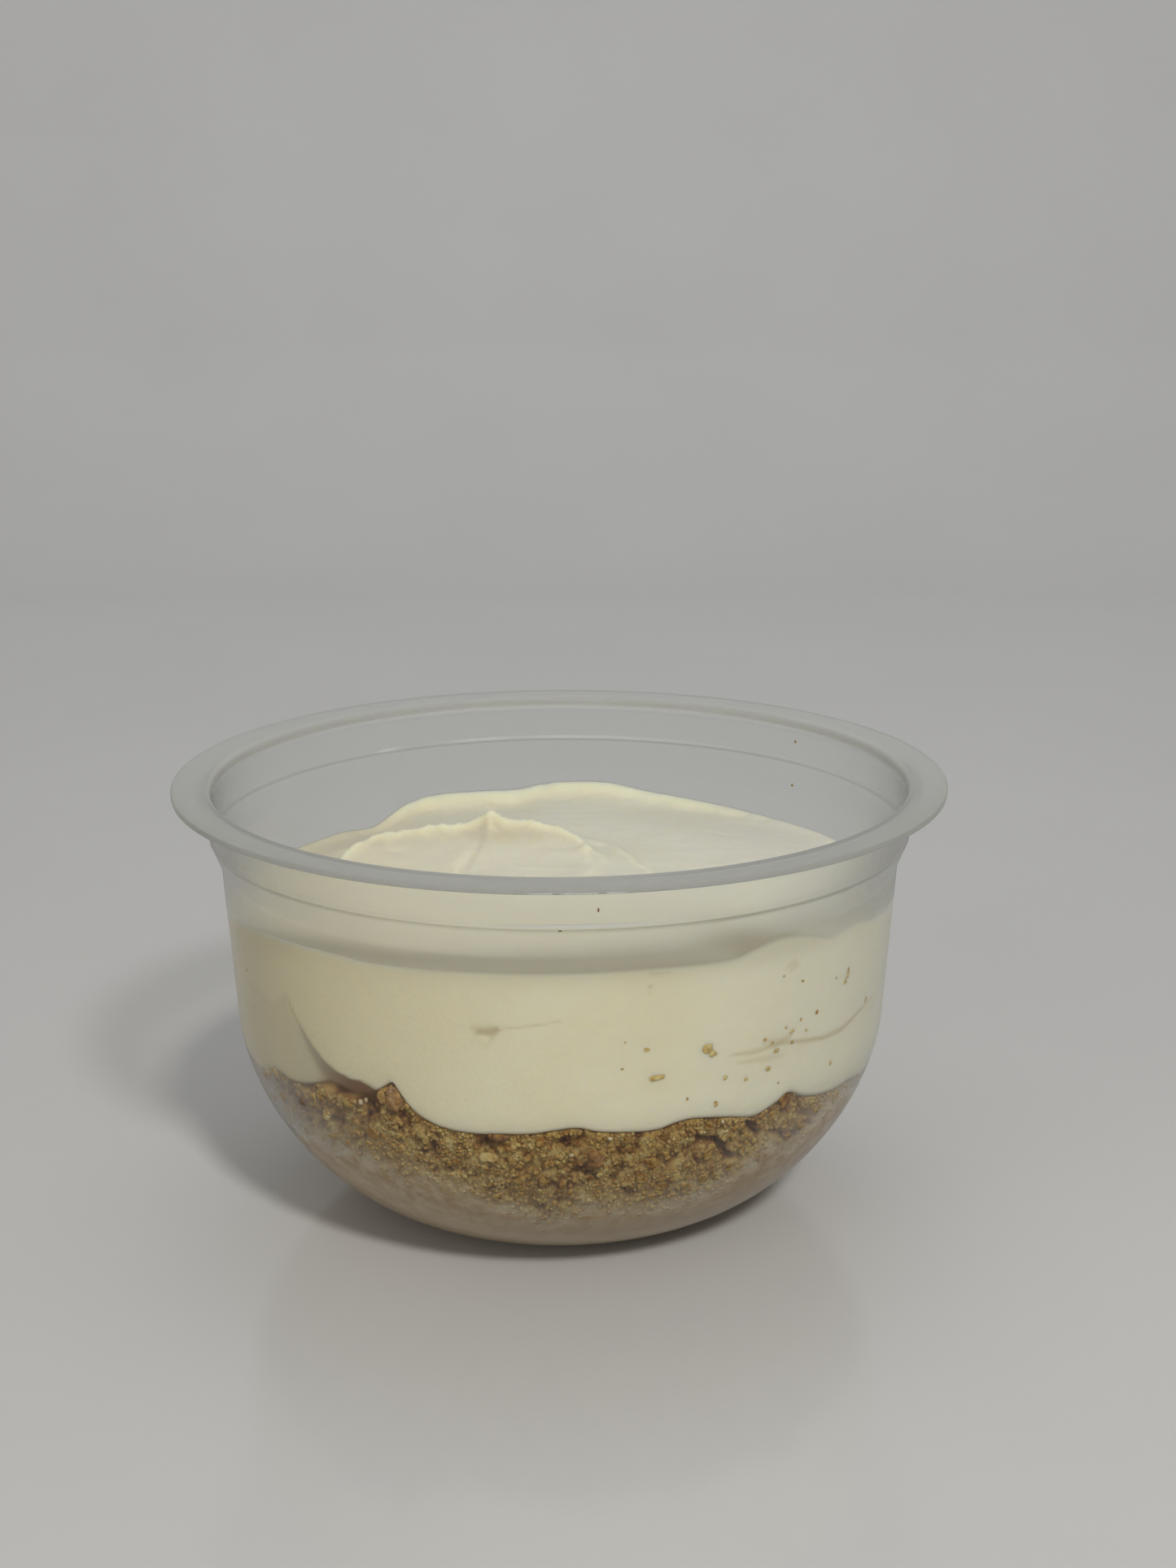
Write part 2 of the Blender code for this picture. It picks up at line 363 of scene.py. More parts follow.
def outerProfile():
    p = potSize
    turn = np.linspace(0.0, 0.5 * np.pi, p["bowlSteps"] + 1)
    z = p["bowlHeight"] * (1.0 - np.cos(turn) ** (2.0 / p["bowlExponent"]))
    r = p["baseRadius"] + (wallLine(z) - p["baseRadius"]) * np.sin(turn) ** (2.0 / p["bowlExponent"])
    points = list(zip(r, z))
    shoulder = p["ledgeHeight"] - p["ledgeDepth"]
    for z in np.linspace(p["bowlHeight"], shoulder, p["wallSteps"] + 1)[1:-1]:
        points.append((wallLine(z), z))
    for share in np.linspace(0.0, 1.0, p["ledgeSteps"] + 1):
        rise = (p["ledgeRadius"] - p["shoulderRadius"]) * share ** p["ledgeHollow"]
        points.append((p["shoulderRadius"] + rise, shoulder + p["ledgeDepth"] * share))
    under = p["height"] - p["flangeThickness"]
    for turn in np.linspace(0.0, 0.5 * np.pi, p["bendSteps"] + 1):
        points.append((
            p["neckRadius"] + p["flangeFillet"] * (1.0 - math.cos(turn)),
            under - p["flangeFillet"] * (1.0 - math.sin(turn))))
    return np.array(points)


def movedInwards(points, distance):
    ahead = np.vstack([points[1:], points[-1:]])
    behind = np.vstack([points[:1], points[:-1]])
    along = ahead - behind
    along /= np.linalg.norm(along, axis=1)[:, None]
    moved = points + distance * np.stack([-along[:, 1], along[:, 0]], 1)
    moved[0] = (points[0, 0], distance)
    return moved


outline = outerProfile()
floorLevel = potSize["wall"] - potSize["bite"]
contentsLine = movedInwards(outline, floorLevel)


def insideRadius(z):
    # how far out the contents reach at a height, a little way into the wall
    return np.interp(z, contentsLine[:, 1], contentsLine[:, 0])


def wallSpots(marks):
    # points on the contents' side of the wall, from (bearing, z) marks
    marks = np.asarray(marks, float)
    return spot(insideRadius(marks[:, 1]), marks[:, 0], marks[:, 1])


def buildPot(material):
    p = potSize
    inside = movedInwards(outline, p["wall"])
    inside = inside[inside[:, 1] < p["height"] - p["insideStop"] * p["flangeBend"]]
    under = p["height"] - p["flangeThickness"]
    e = p["edgeRounding"]
    rim = []
    for centre, start in ((under + e, -0.5 * np.pi), (p["height"] - e, 0.0)):
        for turn in np.linspace(start, start + 0.5 * np.pi, 4):
            rim.append((p["rimRadius"] - e + e * math.cos(turn), centre + e * math.sin(turn)))
    neck = p["neckRadius"] - p["wall"]
    for turn in np.linspace(0.0, 0.5 * np.pi, p["bendSteps"] + 1):
        rim.append((
            neck + p["flangeBend"] * (1.0 - math.sin(turn)),
            p["height"] - p["flangeBend"] * (1.0 - math.cos(turn))))
    profile = np.vstack([outline, rim, inside[::-1]])
    bearings = evenBearings(p["segments"])
    rings = [spot(r, bearings, z) for r, z in profile]
    pot = ringObject("potShell", rings, (0.0, 0.0, 0.0), (0.0, 0.0, p["wall"]), material)
    pot.data.set_sharp_from_angle(angle=math.radians(40))
    turned = (bearings + 180.0) % 360.0 - 180.0
    # bearings of the painted highlights and of the rim's nicks
    highlightBearings = np.tile(aroundPot(plasticLook["highlightBearings"], turned), len(profile))
    storeValues(pot, "streak", np.concatenate([highlightBearings, [0.0, 0.0]]))
    return pot


plasticLook = {
    # line and edge colour the painted shade: the corner lines and the rim's darker band
    "clear": colour(253, 254, 252), "line": colour(222, 224, 218), "edge": colour(205, 207, 198),
    "ior": 1.46, "roughness": 0.24, "smear": 0.03, "gloss": 0.45,
    # painted shade lines at the ledge's corner and at the flange's bend: widths and strengths
    "lineWidth": 0.14, "outerLineWidth": 0.12, "cornerLine": 0.45, "innerLine": 0.8, "outerLine": 0.25,
    "bendFrom": (1.2, 0.9),   # how far under the brim the flange's lines fade in
    "rimFrom": (0.30, 0.12), "rimPolish": 0.14, "nick": 0.6, "nickDepth": 0.06, "waviness": 0.02,
    "shadow": colour(217, 217, 213), "shadowFilled": colour(246, 246, 243), "filledTo": (40.5, 43.0),
    # painted highlight along the ledge: its colour, share, height over the corner and width
    "highlightAndScuff": colour(236, 237, 240), "highlightShare": 0.30, "highlightAt": 0.42, "highlightWidth": 0.34,
    "flange": colour(210, 211, 206), "flangeShare": 0.42, "flangeFrom": (2.0, 0.9), "scuffRoughness": 0.4,
    "glintShare": 0.8, "glintWidth": 0.10, "glintUnder": 0.6,
    # bearings of the painted highlights on the ledge and the rim, where the rim is also nicked, and how
    # much
    "highlightBearings": (
        (-179, 0.9), (-172, 0.4), (-167, 1.0), (-160, 0.7), (-157, 0.1), (-149, 0.1), (-145.5, 1.2),
        (-142, 0.1), (-110, 0.2), (-70, 0.1), (-22, 0.15), (-10, 0.2), (-4, 0.9), (3, 1.3), (8, 1.0),
        (13, 0.5), (20, 0.15), (60, 0.1), (110, 0.3), (140, 0.1), (160, 0.5)),
}


def plasticMaterial():
    # clear polypropylene blurs what lies behind it; its corners show thin grey lines and its rim a darker
    # band, both painted shade
    look, p = plasticLook, potSize
    material, wire, place = newMaterial("clearPlastic")
    x, y, z = place.parts()
    radius = (x * x + y * y) ** 0.5
    brim, width = p["height"], look["lineWidth"]
    uneven = noiseAt(place, 14.0, 2.0)
    # painted shade: grey lines at the ledge's corner and along the flange's bend
    corner = (z - p["ledgeHeight"] * mm).peak(width * mm) * (look["cornerLine"] + uneven)
    innerEdge = p["neckRadius"] - p["wall"] + p["flangeBend"]
    inner = (radius - innerEdge * mm).peak(width * mm) * look["innerLine"]
    outerEdge = p["neckRadius"] + 0.7 * p["flangeFillet"]
    outer = (radius - outerEdge * mm).peak(look["outerLineWidth"] * mm) * look["outerLine"]
    bend, flange = [
        z.between((brim - start) * mm, (brim - end) * mm)
        for start, end in (look["bendFrom"], look["flangeFrom"])]
    line = corner + (inner + outer) * bend
    # painted shade: the band round the rim's edge takes the darker edge colour
    start, end = look["rimFrom"]
    rim = radius.between((p["rimRadius"] - start) * mm, (p["rimRadius"] - end) * mm)
    cloud = noiseAt(place, 16.0, 3.0, 0.6)
    shade = rim.blend(line.blend(look["clear"], look["line"]), look["edge"])
    rough = look["roughness"] + cloud.between(0.4, 0.75) * look["smear"] - rim * look["rimPolish"]
    streak = wire.stored("streak")
    nick = cellsAt(place, look["nick"])
    waves = bumpFrom(noiseAt(place, 6.0, 2.0), look["waviness"])
    relief = bumpFrom(rim * nick * streak.between(0.3, 1.0), look["nickDepth"], waves)
    glass = wire.principled({
        "Base Color": shade, "Roughness": rough, "IOR": look["ior"],
        "Transmission Weight": 1.0, "Normal": relief,
        "Specular Tint": (look["gloss"], look["gloss"], look["gloss"], 1.0)})
    # painted highlights along the bend of the ledge and painted glints on the rim where it is nicked; the
    # flange is scuffed
    ledgeHighlightStrip = (z - (p["ledgeHeight"] + look["highlightAt"]) * mm).peak(look["highlightWidth"] * mm)
    highlightAndScuff = ledgeHighlightStrip * streak * look["highlightShare"] + flange * look["flangeShare"]
    broken = noiseAt(place, 1.5, 2.0).between(0.42, 0.56)
    glint = (z - (brim - look["glintUnder"]) * mm).peak(look["glintWidth"] * mm) * broken
    highlightAndScuff = highlightAndScuff + rim * glint * streak.between(0.85, 1.1) * look["glintShare"]
    highlightAndScuffShader = wire.principled({
        "Base Color": flange.blend(look["highlightAndScuff"], look["flange"]),
        "Roughness": look["scuffRoughness"], "Normal": relief})
    body = highlightAndScuff.choose(glass, highlightAndScuffShader)
    # light passes more easily where the contents touch the wall
    shadowRay = wire.node("ShaderNodeLightPath", output="Is Shadow Ray")
    sides = []
    for tint in (look["shadowFilled"], look["shadow"]):
        sides.append(shadowRay.choose(body, wire.node("ShaderNodeBsdfTransparent", {}, {"Color": tint})))
    low, high = look["filledTo"]
    wire.show(z.between(low * mm, high * mm).choose(*sides))
    return material


# crumb bed

bedShape = {
    "middle": 22.3, "blendStart": 0.62,
    "edge": (
        (-170, 21.8), (-125, 22.6), (-80, 22.4), (-66, 22.1), (-62, 22.6), (-57, 23.8), (-51, 23.6),
        (-46, 24.2), (-42, 25.0), (-38, 24.3), (-34, 24.6), (-30.5, 26.0), (-28, 27.4), (-26.6, 26.6),
        (-25, 25.1), (-22.5, 23.8), (-19, 22.9), (-14, 22.6), (-9, 22.8), (-4, 23.0), (-1, 23.4),
        (3, 23.7), (6, 23.2), (10, 22.9), (16, 22.8), (19, 23.4), (22, 23.6), (28, 23.0), (34, 22.2),
        (38, 23.0), (41, 23.9), (45, 22.7), (49, 21.9), (55, 21.3), (61, 21.1), (70, 19.9), (82, 20.9),
        (95, 20.6), (108, 21.6), (122, 20.9), (140, 22.2), (156, 21.5)),
    "segments": 640, "topRings": 8, "sideRows": 112,
    "sunk": 0.30, "lump": 1.7, "lumpDepth": 0.55, "pit": 1.2, "pitDepth": 1.0, "pitFrom": 0.24,
    "smoothed": 0.95,         # how much of the relief the smeared part loses
    # edgeShade darkens a band along the bed's top edge: painted shade
    "edgeCalm": 0.25, "rimSunk": 0.2, "edgeShade": 0.5, "edgeUneven": 0.5,
    "crackWidth": 0.40, "crackDepth": 1.4, "holeDepth": 1.3,
    # above this line the crumb is crisp and golden, below it is smeared pale against the plastic
    "hazeLine": (
        (-175, 15.0), (-150, 12.5), (-120, 16.0), (-95, 14.5), (-75, 15.0), (-58, 16.6), (-47, 17.6),
        (-42, 17.6), (-35, 17.4), (-31, 16.4), (-22, 16.6), (-18, 15.8), (-15, 15.1), (-12, 13.2),
        (-8, 12.9), (-4, 10.9), (-1, 10.6), (2, 12.9), (10, 13.1), (14, 12.6), (17, 12.4), (22, 12.8),
        (32, 13.4), (34, 15.3), (37, 17.6), (42, 18.0), (46, 16.6), (49, 16.2), (53, 19.5), (60, 21.0),
        (72, 19.0), (90, 15.0), (120, 12.0), (145, 16.5), (165, 13.0)),
    "hazeStart": 2.4, "hazeDepth": 4.4, "hazeUneven": 1.6, "hazePatch": 3.0,
    # cracks and holes between the clumps, where they show through the wall
    "cracks": (
        ((19.1, 17.0), (20.3, 19.0), (23.4, 20.0), (24.4, 20.7), (25.8, 20.2), (27.0, 20.5), (29.4, 18.3),
         (31.7, 16.9), (33.5, 16.2)),
        ((32.6, 21.8), (34.7, 20.7), (37.1, 19.1)),
        ((38.1, 19.7), (41.8, 18.3), (47.5, 17.0), (48.3, 18.0), (53.8, 17.2)),
        ((-24.5, 19.1), (-21.8, 19.5), (-21.1, 21.0)),
        ((1.2, 17.4), (3.3, 17.9), (6.8, 16.8)),
        ((-14.0, 20.6), (-11.9, 21.9), (-10.6, 21.0))),
    "holes": (
        (-47.5, 24.3, 1.0), (-33.6, 24.3, 1.2), (-40.0, 25.0, 0.7), (1.1, 22.2, 0.5), (12.9, 22.5, 0.5)),
    # more cracks where the photograph doesn't show the bed: each climbs and runs on in a few steps
    "hidden": {
        "count": 26, "seed": 7, "bearings": (62.0, 300.0), "heights": (7.0, 20.0), "steps": (2, 5),
        "run": (1.0, 3.4), "climb": (-1.5, 1.5)},
}


def bedEdge(bearing):
    return aroundPot(bedShape["edge"], bearing)


def bedTop(x, y):
    radius, bearing = polar(x, y)
    reach = insideRadius(bedEdge(bearing))
    follow = ease(bedShape["blendStart"], 1.0, radius / reach)
    return bedShape["middle"] + (bedEdge(bearing) - bedShape["middle"]) * follow


def hazeAt(points):
    # 0 in the crisp crumb, 1 in the smeared part
    b = bedShape
    x, y, z = points.T
    line = aroundPot(b["hazeLine"], polar(x, y)[1])
    line = line + b["hazeUneven"] * softNoise(points, b["hazePatch"], 53, 2)
    return ease(b["hazeStart"], -b["hazeDepth"], z - line)


def bedCracks():
    # the cracks of the photographed side, and more like them round the rest
    h = bedShape["hidden"]
    chance = np.random.default_rng(h["seed"])
    paths = [wallSpots(marks) for marks in bedShape["cracks"]]
    for k in range(h["count"]):
        mark = np.array([chance.uniform(*h["bearings"]), chance.uniform(*h["heights"])])
        marks = [mark]
        for step in range(chance.integers(*h["steps"])):
            mark = mark + (chance.uniform(*h["run"]), chance.uniform(*h["climb"]))
            marks.append(mark)
        paths.append(wallSpots(marks))
    return paths


def crackDepth(points):
    b = bedShape
    depth = np.zeros(len(points))
    width = b["crackWidth"] * (1.0 + 0.5 * softNoise(points, 0.8, 31))
    for path in bedCracks():
        away, along = pathDistance(points, path)
        taper = ease(0.0, 0.12, along) * ease(1.0, 0.88, along)
        depth = np.maximum(depth, taper * bell(away, width))
    uneven = 1.0 + 0.3 * softNoise(points, 0.7, 37)
    for bearing, z, size in b["holes"]:
        away = np.linalg.norm(points - wallSpots([(bearing, z)])[0], axis=-1)
        depth = np.maximum(depth, b["holeDepth"] * bell(away, size * uneven))
    return depth


def crackClearance(points):
    # how far points lie from the sides of the nearest crack or hole
    b = bedShape
    away = [pathDistance(points, path)[0] - b["crackWidth"] for path in bedCracks()]
    for bearing, z, size in b["holes"]:
        away.append(np.linalg.norm(points - wallSpots([(bearing, z)])[0], axis=-1) - 0.8 * size)
    return np.min(away, axis=0)


def bowlDistance():
    # length along the contents' outline from its foot on the floor, for even rows
    step = np.hypot(*np.diff(contentsLine, axis=0).T)
    return np.concatenate([[0.0], np.cumsum(step)])


def bedHollow(points, edge, haze):
    # how far the relief of lumps, pits and cracks lies inside the wall
    b = bedShape
    hollow = b["sunk"] + b["lumpDepth"] * (1.0 - pebbles(points, b["lump"], 11)) ** 1.5
    hollow += b["pitDepth"] * np.maximum(softNoise(points, b["pit"], 41, 2) - b["pitFrom"], 0.0)
    hollow += b["crackDepth"] * crackDepth(points)
    below = edge - points[:, 2]
    hollow *= (1.0 - b["smoothed"] * haze) * (1.0 - b["edgeCalm"] * ease(1.0, 0.2, below))
    return np.maximum(hollow, b["rimSunk"] * ease(1.3, 0.2, below))


def towardsMiddle(points):
    inwards = np.array([0.0, 0.0, bedShape["middle"]]) - points
    return inwards / np.linalg.norm(inwards, axis=1)[:, None]


def ringStep(ring):
    # a small ring takes every second or fourth point
    radius = np.median(np.hypot(ring[:, 0], ring[:, 1]))
    return 1 if radius > 20.0 else 2 if radius > 10.0 else 4


def buildBed(material):
    b = bedShape
    bearings = evenBearings(b["segments"])
    edge = bedEdge(bearings) + b["edgeUneven"] * softNoise(spot(42.0, bearings, 0.0), 1.1, 83, 2)
    rings = []
    for share in shares(b["topRings"]):
        flat = spot(share * insideRadius(edge), bearings, 0.0)
        rings.append(np.column_stack([flat[:, :2], bedTop(flat[:, 0], flat[:, 1])]))
    walk = bowlDistance()
    top = np.interp(edge, contentsLine[:, 1], walk)
    reach = potSize["baseRadius"]
    for share in shares(b["sideRows"])[:-1]:
        along = top - (top + reach) * share
        radius = np.where(along > 0.0, np.interp(along, walk, contentsLine[:, 0]), reach + along)
        rings.append(spot(radius, bearings, np.interp(along, walk, contentsLine[:, 1])))
    values = {"depth": [], "haze": []}
    for k, ring in enumerate(rings):
        step = ringStep(ring)
        ring = ring[::step]
        hollow, haze = np.zeros(len(ring)), np.zeros(len(ring))
        if k >= b["topRings"] - 1:
            haze = hazeAt(ring)
            hollow = bedHollow(ring, edge[::step], haze)
        rings[k] = ring + towardsMiddle(ring) * hollow[:, None]
        # the depth value carries painted shade: the relief's hollows and a band along the top edge
        values["depth"].append(hollow + b["edgeShade"] * ease(0.6, 0.1, edge[::step] - ring[:, 2]))
        values["haze"].append(haze)
    middle = float(bedTop(0.0, 0.0))
    bed = ringObject("crumbBed", rings, (0.0, 0.0, middle), (0.0, 0.0, floorLevel), material)
    storeRings(bed, values, {"haze": (0.0, 1.0)})
    return bed


crumbLook = {
    "stops": (
        (0.00, colour(78, 50, 34)), (0.14, colour(112, 72, 38)), (0.30, colour(150, 106, 54)),
        (0.50, colour(190, 155, 92)), (0.70, colour(207, 183, 122)), (0.88, colour(222, 209, 158)),
        (1.00, colour(242, 234, 215))),
    # the smeared part's colours; the last is painted light that lifts it towards the bottom
    "haze": colour(180, 154, 124), "hazePale": colour(214, 199, 176), "hazeBounceLight": colour(212, 192, 166),
    "hazeShare": 0.8, "bounceLightFrom": (15.0, 4.0), "veilPatch": 0.8, "veilCalm": 0.7,
    "grain": 0.34, "clump": 0.75, "stir": 0.3,
    # what each adds to the colour, from dark to pale; the hollow, pit, clump and grain amounts are
    # painted shade in recesses and gaps
    "ground": 0.68, "hollowShade": 0.42, "hollowFrom": (0.12, 1.3),
    "mottleTone": 0.8, "clumpShade": 0.30, "grainShade": 0.16, "pitShade": 0.2,
    # and to the relief
    "grainRise": 0.25, "clumpRise": 0.7, "pitDrop": 0.6, "relief": 0.16,
    "roughness": 0.72, "unevenRoughness": 0.2, "shine": 0.1,
}


def crumbMaterial(name, loose):
    # packed grains, with painted shade in the hollows, the pits and the gaps between the clumps
    look = crumbLook
    material, wire, place = newMaterial(name)
    z = place.parts()[2]
    swirl = noiseAt(place, 1.1, output=1)
    stir = (look["stir"] * mm,) * 3
    stirred = wire.node(
        "ShaderNodeVectorMath", {"operation": "MULTIPLY_ADD"}, {0: swirl, 1: stir, 2: place})
    mottle = noiseAt(place, 1.8, 4.0, 0.6)
    grain = cellsAt(stirred, look["grain"])
    clump = cellsAt(stirred, look["clump"])
    pit = noiseAt(place, 0.8, 3.0, 0.6).between(0.44, 0.30)
    haze = wire.stored("haze")
    ground = wire.stored("tone") if loose else look["ground"]
    # painted shade: darker where the surface lies deep, in pits and between clumps and grains, lighter on
    # their crowns
    value = ground - wire.stored("depth").between(*look["hollowFrom"]) * look["hollowShade"]
    value = value + (mottle - 0.5) * look["mottleTone"] + (0.5 - clump) * look["clumpShade"]
    value = value + (0.5 - grain) * look["grainShade"] - pit * look["pitShade"]
    shade = value.node("ShaderNodeValToRGB", {"stops": look["stops"]}, {"Fac": value})
    patch = noiseAt(place, 2.2, 4.0, 0.6)
    smeared = patch.between(0.38, 0.62).blend(look["haze"], look["hazePale"])
    # painted light: the smeared part grows lighter towards the bottom
    high, low = look["bounceLightFrom"]
    smeared = z.between(high * mm, low * mm).blend(smeared, look["hazeBounceLight"])
    veil = (haze + (patch - 0.5) * look["veilPatch"]).between(0.0, 1.0) * haze.between(0.0, 0.2)
    shade = (veil * look["hazeShare"]).blend(shade, smeared)
    rise = (1.0 - grain * grain) * look["grainRise"] + (1.0 - clump * clump) * look["clumpRise"]
    rise = rise - pit * look["pitDrop"]
    wire.show(wire.principled({
        "Base Color": shade, "Roughness": look["roughness"] + mottle * look["unevenRoughness"],
        "Specular IOR Level": look["shine"],
        "Normal": bumpFrom(rise * (1.0 - veil * look["veilCalm"]), look["relief"])}))
    return material


# loose crumbs

looseCrumbs = {
    # sink is how deep a crumb's middle lies in the bed's surface, in its own widths
    "kinds": (
        dict(name="crumbsCoarse", small=0.9, large=1.6, count=130, detail=3, seed=3, sink=0.36),
        dict(name="crumbsSmall", small=0.5, large=0.85, count=1000, detail=2, seed=12, sink=0.3),
        dict(name="crumbsGrains", small=0.36, large=0.6, count=5600, detail=1, seed=21, sink=0.3),
        dict(name="crumbsFine", small=0.28, large=0.45, count=6000, detail=1, seed=15, sink=0.3)),
    "palest": 0.70, "darkest": 0.54, "fewPale": 1.3, "fewLarge": 1.6,
    "flattest": (0.85, 0.75, 0.7), "fullest": (1.15, 1.05, 1.0),
    "rough": 0.6, "knobs": 2.3, "uneven": 0.08, "buried": 0.22,
    "lowest": 2.2, "sheetPoints": 640, "sheetRows": 100,
}


class Plan:
    # a Geometry Nodes tree built call by call, its inputs named
    def __init__(self, name):
        self.tree = bpy.data.node_groups.new(name, "GeometryNodeTree")
        self.names = {}
        self.inputs = None
        for way in ("INPUT", "OUTPUT"):
            self.tree.interface.new_socket(name="Geometry", in_out=way, socket_type="NodeSocketGeometry")

    def addInput(self, name, kind):
        made = self.tree.interface.new_socket(name=name, in_out="INPUT", socket_type=kind)
        self.names[name] = made.identifier

    def take(self, name):
        if self.inputs is None:
            self.inputs = self.tree.nodes.new("NodeGroupInput")
        return self.inputs.outputs[name]

    def add(self, kind, settings=None, sockets=None):
        made = self.tree.nodes.new(kind)
        for key, value in (settings or {}).items():
            setattr(made, key, value)
        for key, value in (sockets or {}).items():
            if isinstance(value, bpy.types.NodeSocket):
                self.tree.links.new(value, made.inputs[key])
            else:
                made.inputs[key].default_value = value
        return made.outputs

    def maths(self, operation, first, second):
        return self.add("ShaderNodeMath", {"operation": operation}, {0: first, 1: second})[0]

    def scaled(self, vector, amount):
        return self.add("ShaderNodeVectorMath", {"operation": "SCALE"}, {0: vector, "Scale": amount})[0]

    def chance(self, seed, shift, low=0.0, high=1.0):
        # a random number for each point, or a random vector if the limits are vectors
        vector = isinstance(low, tuple)
        return self.add("FunctionNodeRandomValue", {"data_type": "FLOAT_VECTOR" if vector else "FLOAT"}, {
            "Min" if vector else 2: low, "Max" if vector else 3: high,
            "Seed": self.maths("ADD", seed, shift)})[0 if vector else 1]

    def store(self, geometry, name, value):
        return self.add("GeometryNodeStoreNamedAttribute", {"data_type": "FLOAT", "domain": "POINT"}, {
            "Geometry": geometry, "Name": name, "Value": value})[0]

    def read(self, name):
        return self.add("GeometryNodeInputNamedAttribute", {"data_type": "FLOAT"}, {"Name": name})[0]

    def run(self, obj, geometry, values):
        # evaluate on an object, whose mesh becomes the result
        out = self.tree.nodes.new("NodeGroupOutput")
        self.tree.links.new(geometry, out.inputs[0])
        modifier = obj.modifiers.new("plan", "NODES")
        modifier.node_group = self.tree
        for name, value in values.items():
            modifier[self.names[name]] = value
        ready = obj.evaluated_get(bpy.context.evaluated_depsgraph_get())
        mesh = bpy.data.meshes.new_from_object(ready)
        obj.modifiers.remove(modifier)
        old, obj.data = obj.data, mesh
        bpy.data.meshes.remove(old)
        mesh.name = obj.name


def strewCrumbs(sheet, kind, density, material):
    # crumbs of one kind over a sheet, each partly sunk in it and each of its own shape
    spread = looseCrumbs
    plan = Plan(kind["name"])
    for name in ("Density", "Smallest", "Largest"):
        plan.addInput(name, "NodeSocketFloat")
    plan.addInput("Seed", "NodeSocketInt")
    seed = plan.take("Seed")
    strewn = plan.add("GeometryNodeDistributePointsOnFaces", {}, {
        "Mesh": plan.take("Geometry"), "Seed": seed,
        "Density": plan.maths("MULTIPLY", plan.take("Density"), plan.read("keep"))})
    size = plan.add("ShaderNodeMapRange", {}, {
        "Value": plan.maths("POWER", plan.chance(seed, 1), spread["fewLarge"]),
        "To Min": plan.take("Smallest"), "To Max": plan.take("Largest")})[0]
    points = plan.store(strewn[0], "width", size)
    tone = plan.add("ShaderNodeMapRange", {}, {
        "Value": plan.maths("POWER", plan.chance(seed, 2), spread["fewPale"]),
        "To Min": spread["darkest"], "To Max": spread["palest"]})[0]
    points = plan.store(points, "tone", tone)
    points = plan.store(points, "lean", plan.chance(seed, 5))
    width = plan.read("width")
    sink = plan.maths("MULTIPLY", width, -kind["sink"])
    points = plan.add("GeometryNodeSetPosition", {}, {
        "Geometry": points, "Offset": plan.scaled(strewn[1], sink)})[0]
    ball = plan.add("GeometryNodeMeshIcoSphere", {}, {"Radius": 0.5, "Subdivisions": kind["detail"]})
    form = plan.chance(seed, 3, spread["flattest"], spread["fullest"])
    placed = plan.add("GeometryNodeInstanceOnPoints", {}, {
        "Points": points, "Instance": ball[0], "Scale": plan.scaled(form, width),
        "Rotation": plan.chance(seed, 4, (0.0, 0.0, 0.0), (6.283, 6.283, 6.283))})
    real = plan.add("GeometryNodeRealizeInstances", {}, {"Geometry": placed[0]})
    finer = plan.maths("DIVIDE", spread["knobs"], width)
    where = plan.scaled(plan.add("GeometryNodeInputPosition")[0], finer)
    lumps = plan.add("ShaderNodeTexNoise", {}, {"Vector": where, "Scale": 1.0, "Detail": 2.0})
    centred = plan.add(
        "ShaderNodeVectorMath", {"operation": "SUBTRACT"}, {0: lumps[1], 1: (0.5, 0.5, 0.5)})
    push = plan.scaled(centred[0], plan.maths("MULTIPLY", width, spread["rough"]))
    moved = plan.add("GeometryNodeSetPosition", {}, {"Geometry": real[0], "Offset": push})
    done = plan.add("GeometryNodeSetMaterial", {}, {"Geometry": moved[0], "Material": material})
    plan.run(sheet, done[0], {
        "Density": density, "Smallest": kind["small"] * mm, "Largest": kind["large"] * mm,
        "Seed": kind["seed"]})


def crumbSheet():
    # the side of the crumb bed that the crumbs lie on: points, faces, and how clear, smeared and deep
    count, rows = looseCrumbs["sheetPoints"], looseCrumbs["sheetRows"]
    bearings = evenBearings(count)
    walk = bowlDistance()
    edge = bedEdge(bearings)
    top = np.interp(edge - 0.05, contentsLine[:, 1], walk)
    foot = np.interp(looseCrumbs["lowest"], contentsLine[:, 1], walk)
    along = np.linspace(top, foot, rows)
    radius = np.interp(along, walk, contentsLine[:, 0])
    points = spot(radius, bearings, np.interp(along, walk, contentsLine[:, 1])).reshape(-1, 3)
    faces = []
    for k in range(rows - 1):
        faces += bridge(k * count, count, (k + 1) * count, count)
    haze = hazeAt(points)
    hollow = bedHollow(points, np.tile(edge, rows), haze)
    buried = (hollow + looseCrumbs["buried"] * haze)[:, None]
    return points + towardsMiddle(points) * buried, faces, crackClearance(points), haze, hollow


def keptArea(sheet):
    keep = readValues(sheet, "keep")
    return sum(face.area * keep[face.vertices[0]] for face in sheet.data.polygons)


def pressToWall(obj):
    # what would stick through the wall is flattened against it, as crumbs packed in a pot are
    mesh = obj.data
    co = np.zeros(len(mesh.vertices) * 3)
    mesh.vertices.foreach_get("co", co)
    co = co.reshape(-1, 3) / mm
    co[:, 2] = np.maximum(co[:, 2], floorLevel)
    radius = np.hypot(co[:, 0], co[:, 1])
    limit = insideRadius(co[:, 2]) - looseCrumbs["uneven"] * readValues(obj, "lean")
    co[:, :2] *= np.where(radius > limit, limit / np.maximum(radius, 1e-6), 1.0)[:, None]
    mesh.vertices.foreach_set("co", (co * mm).ravel())
    mesh.update()


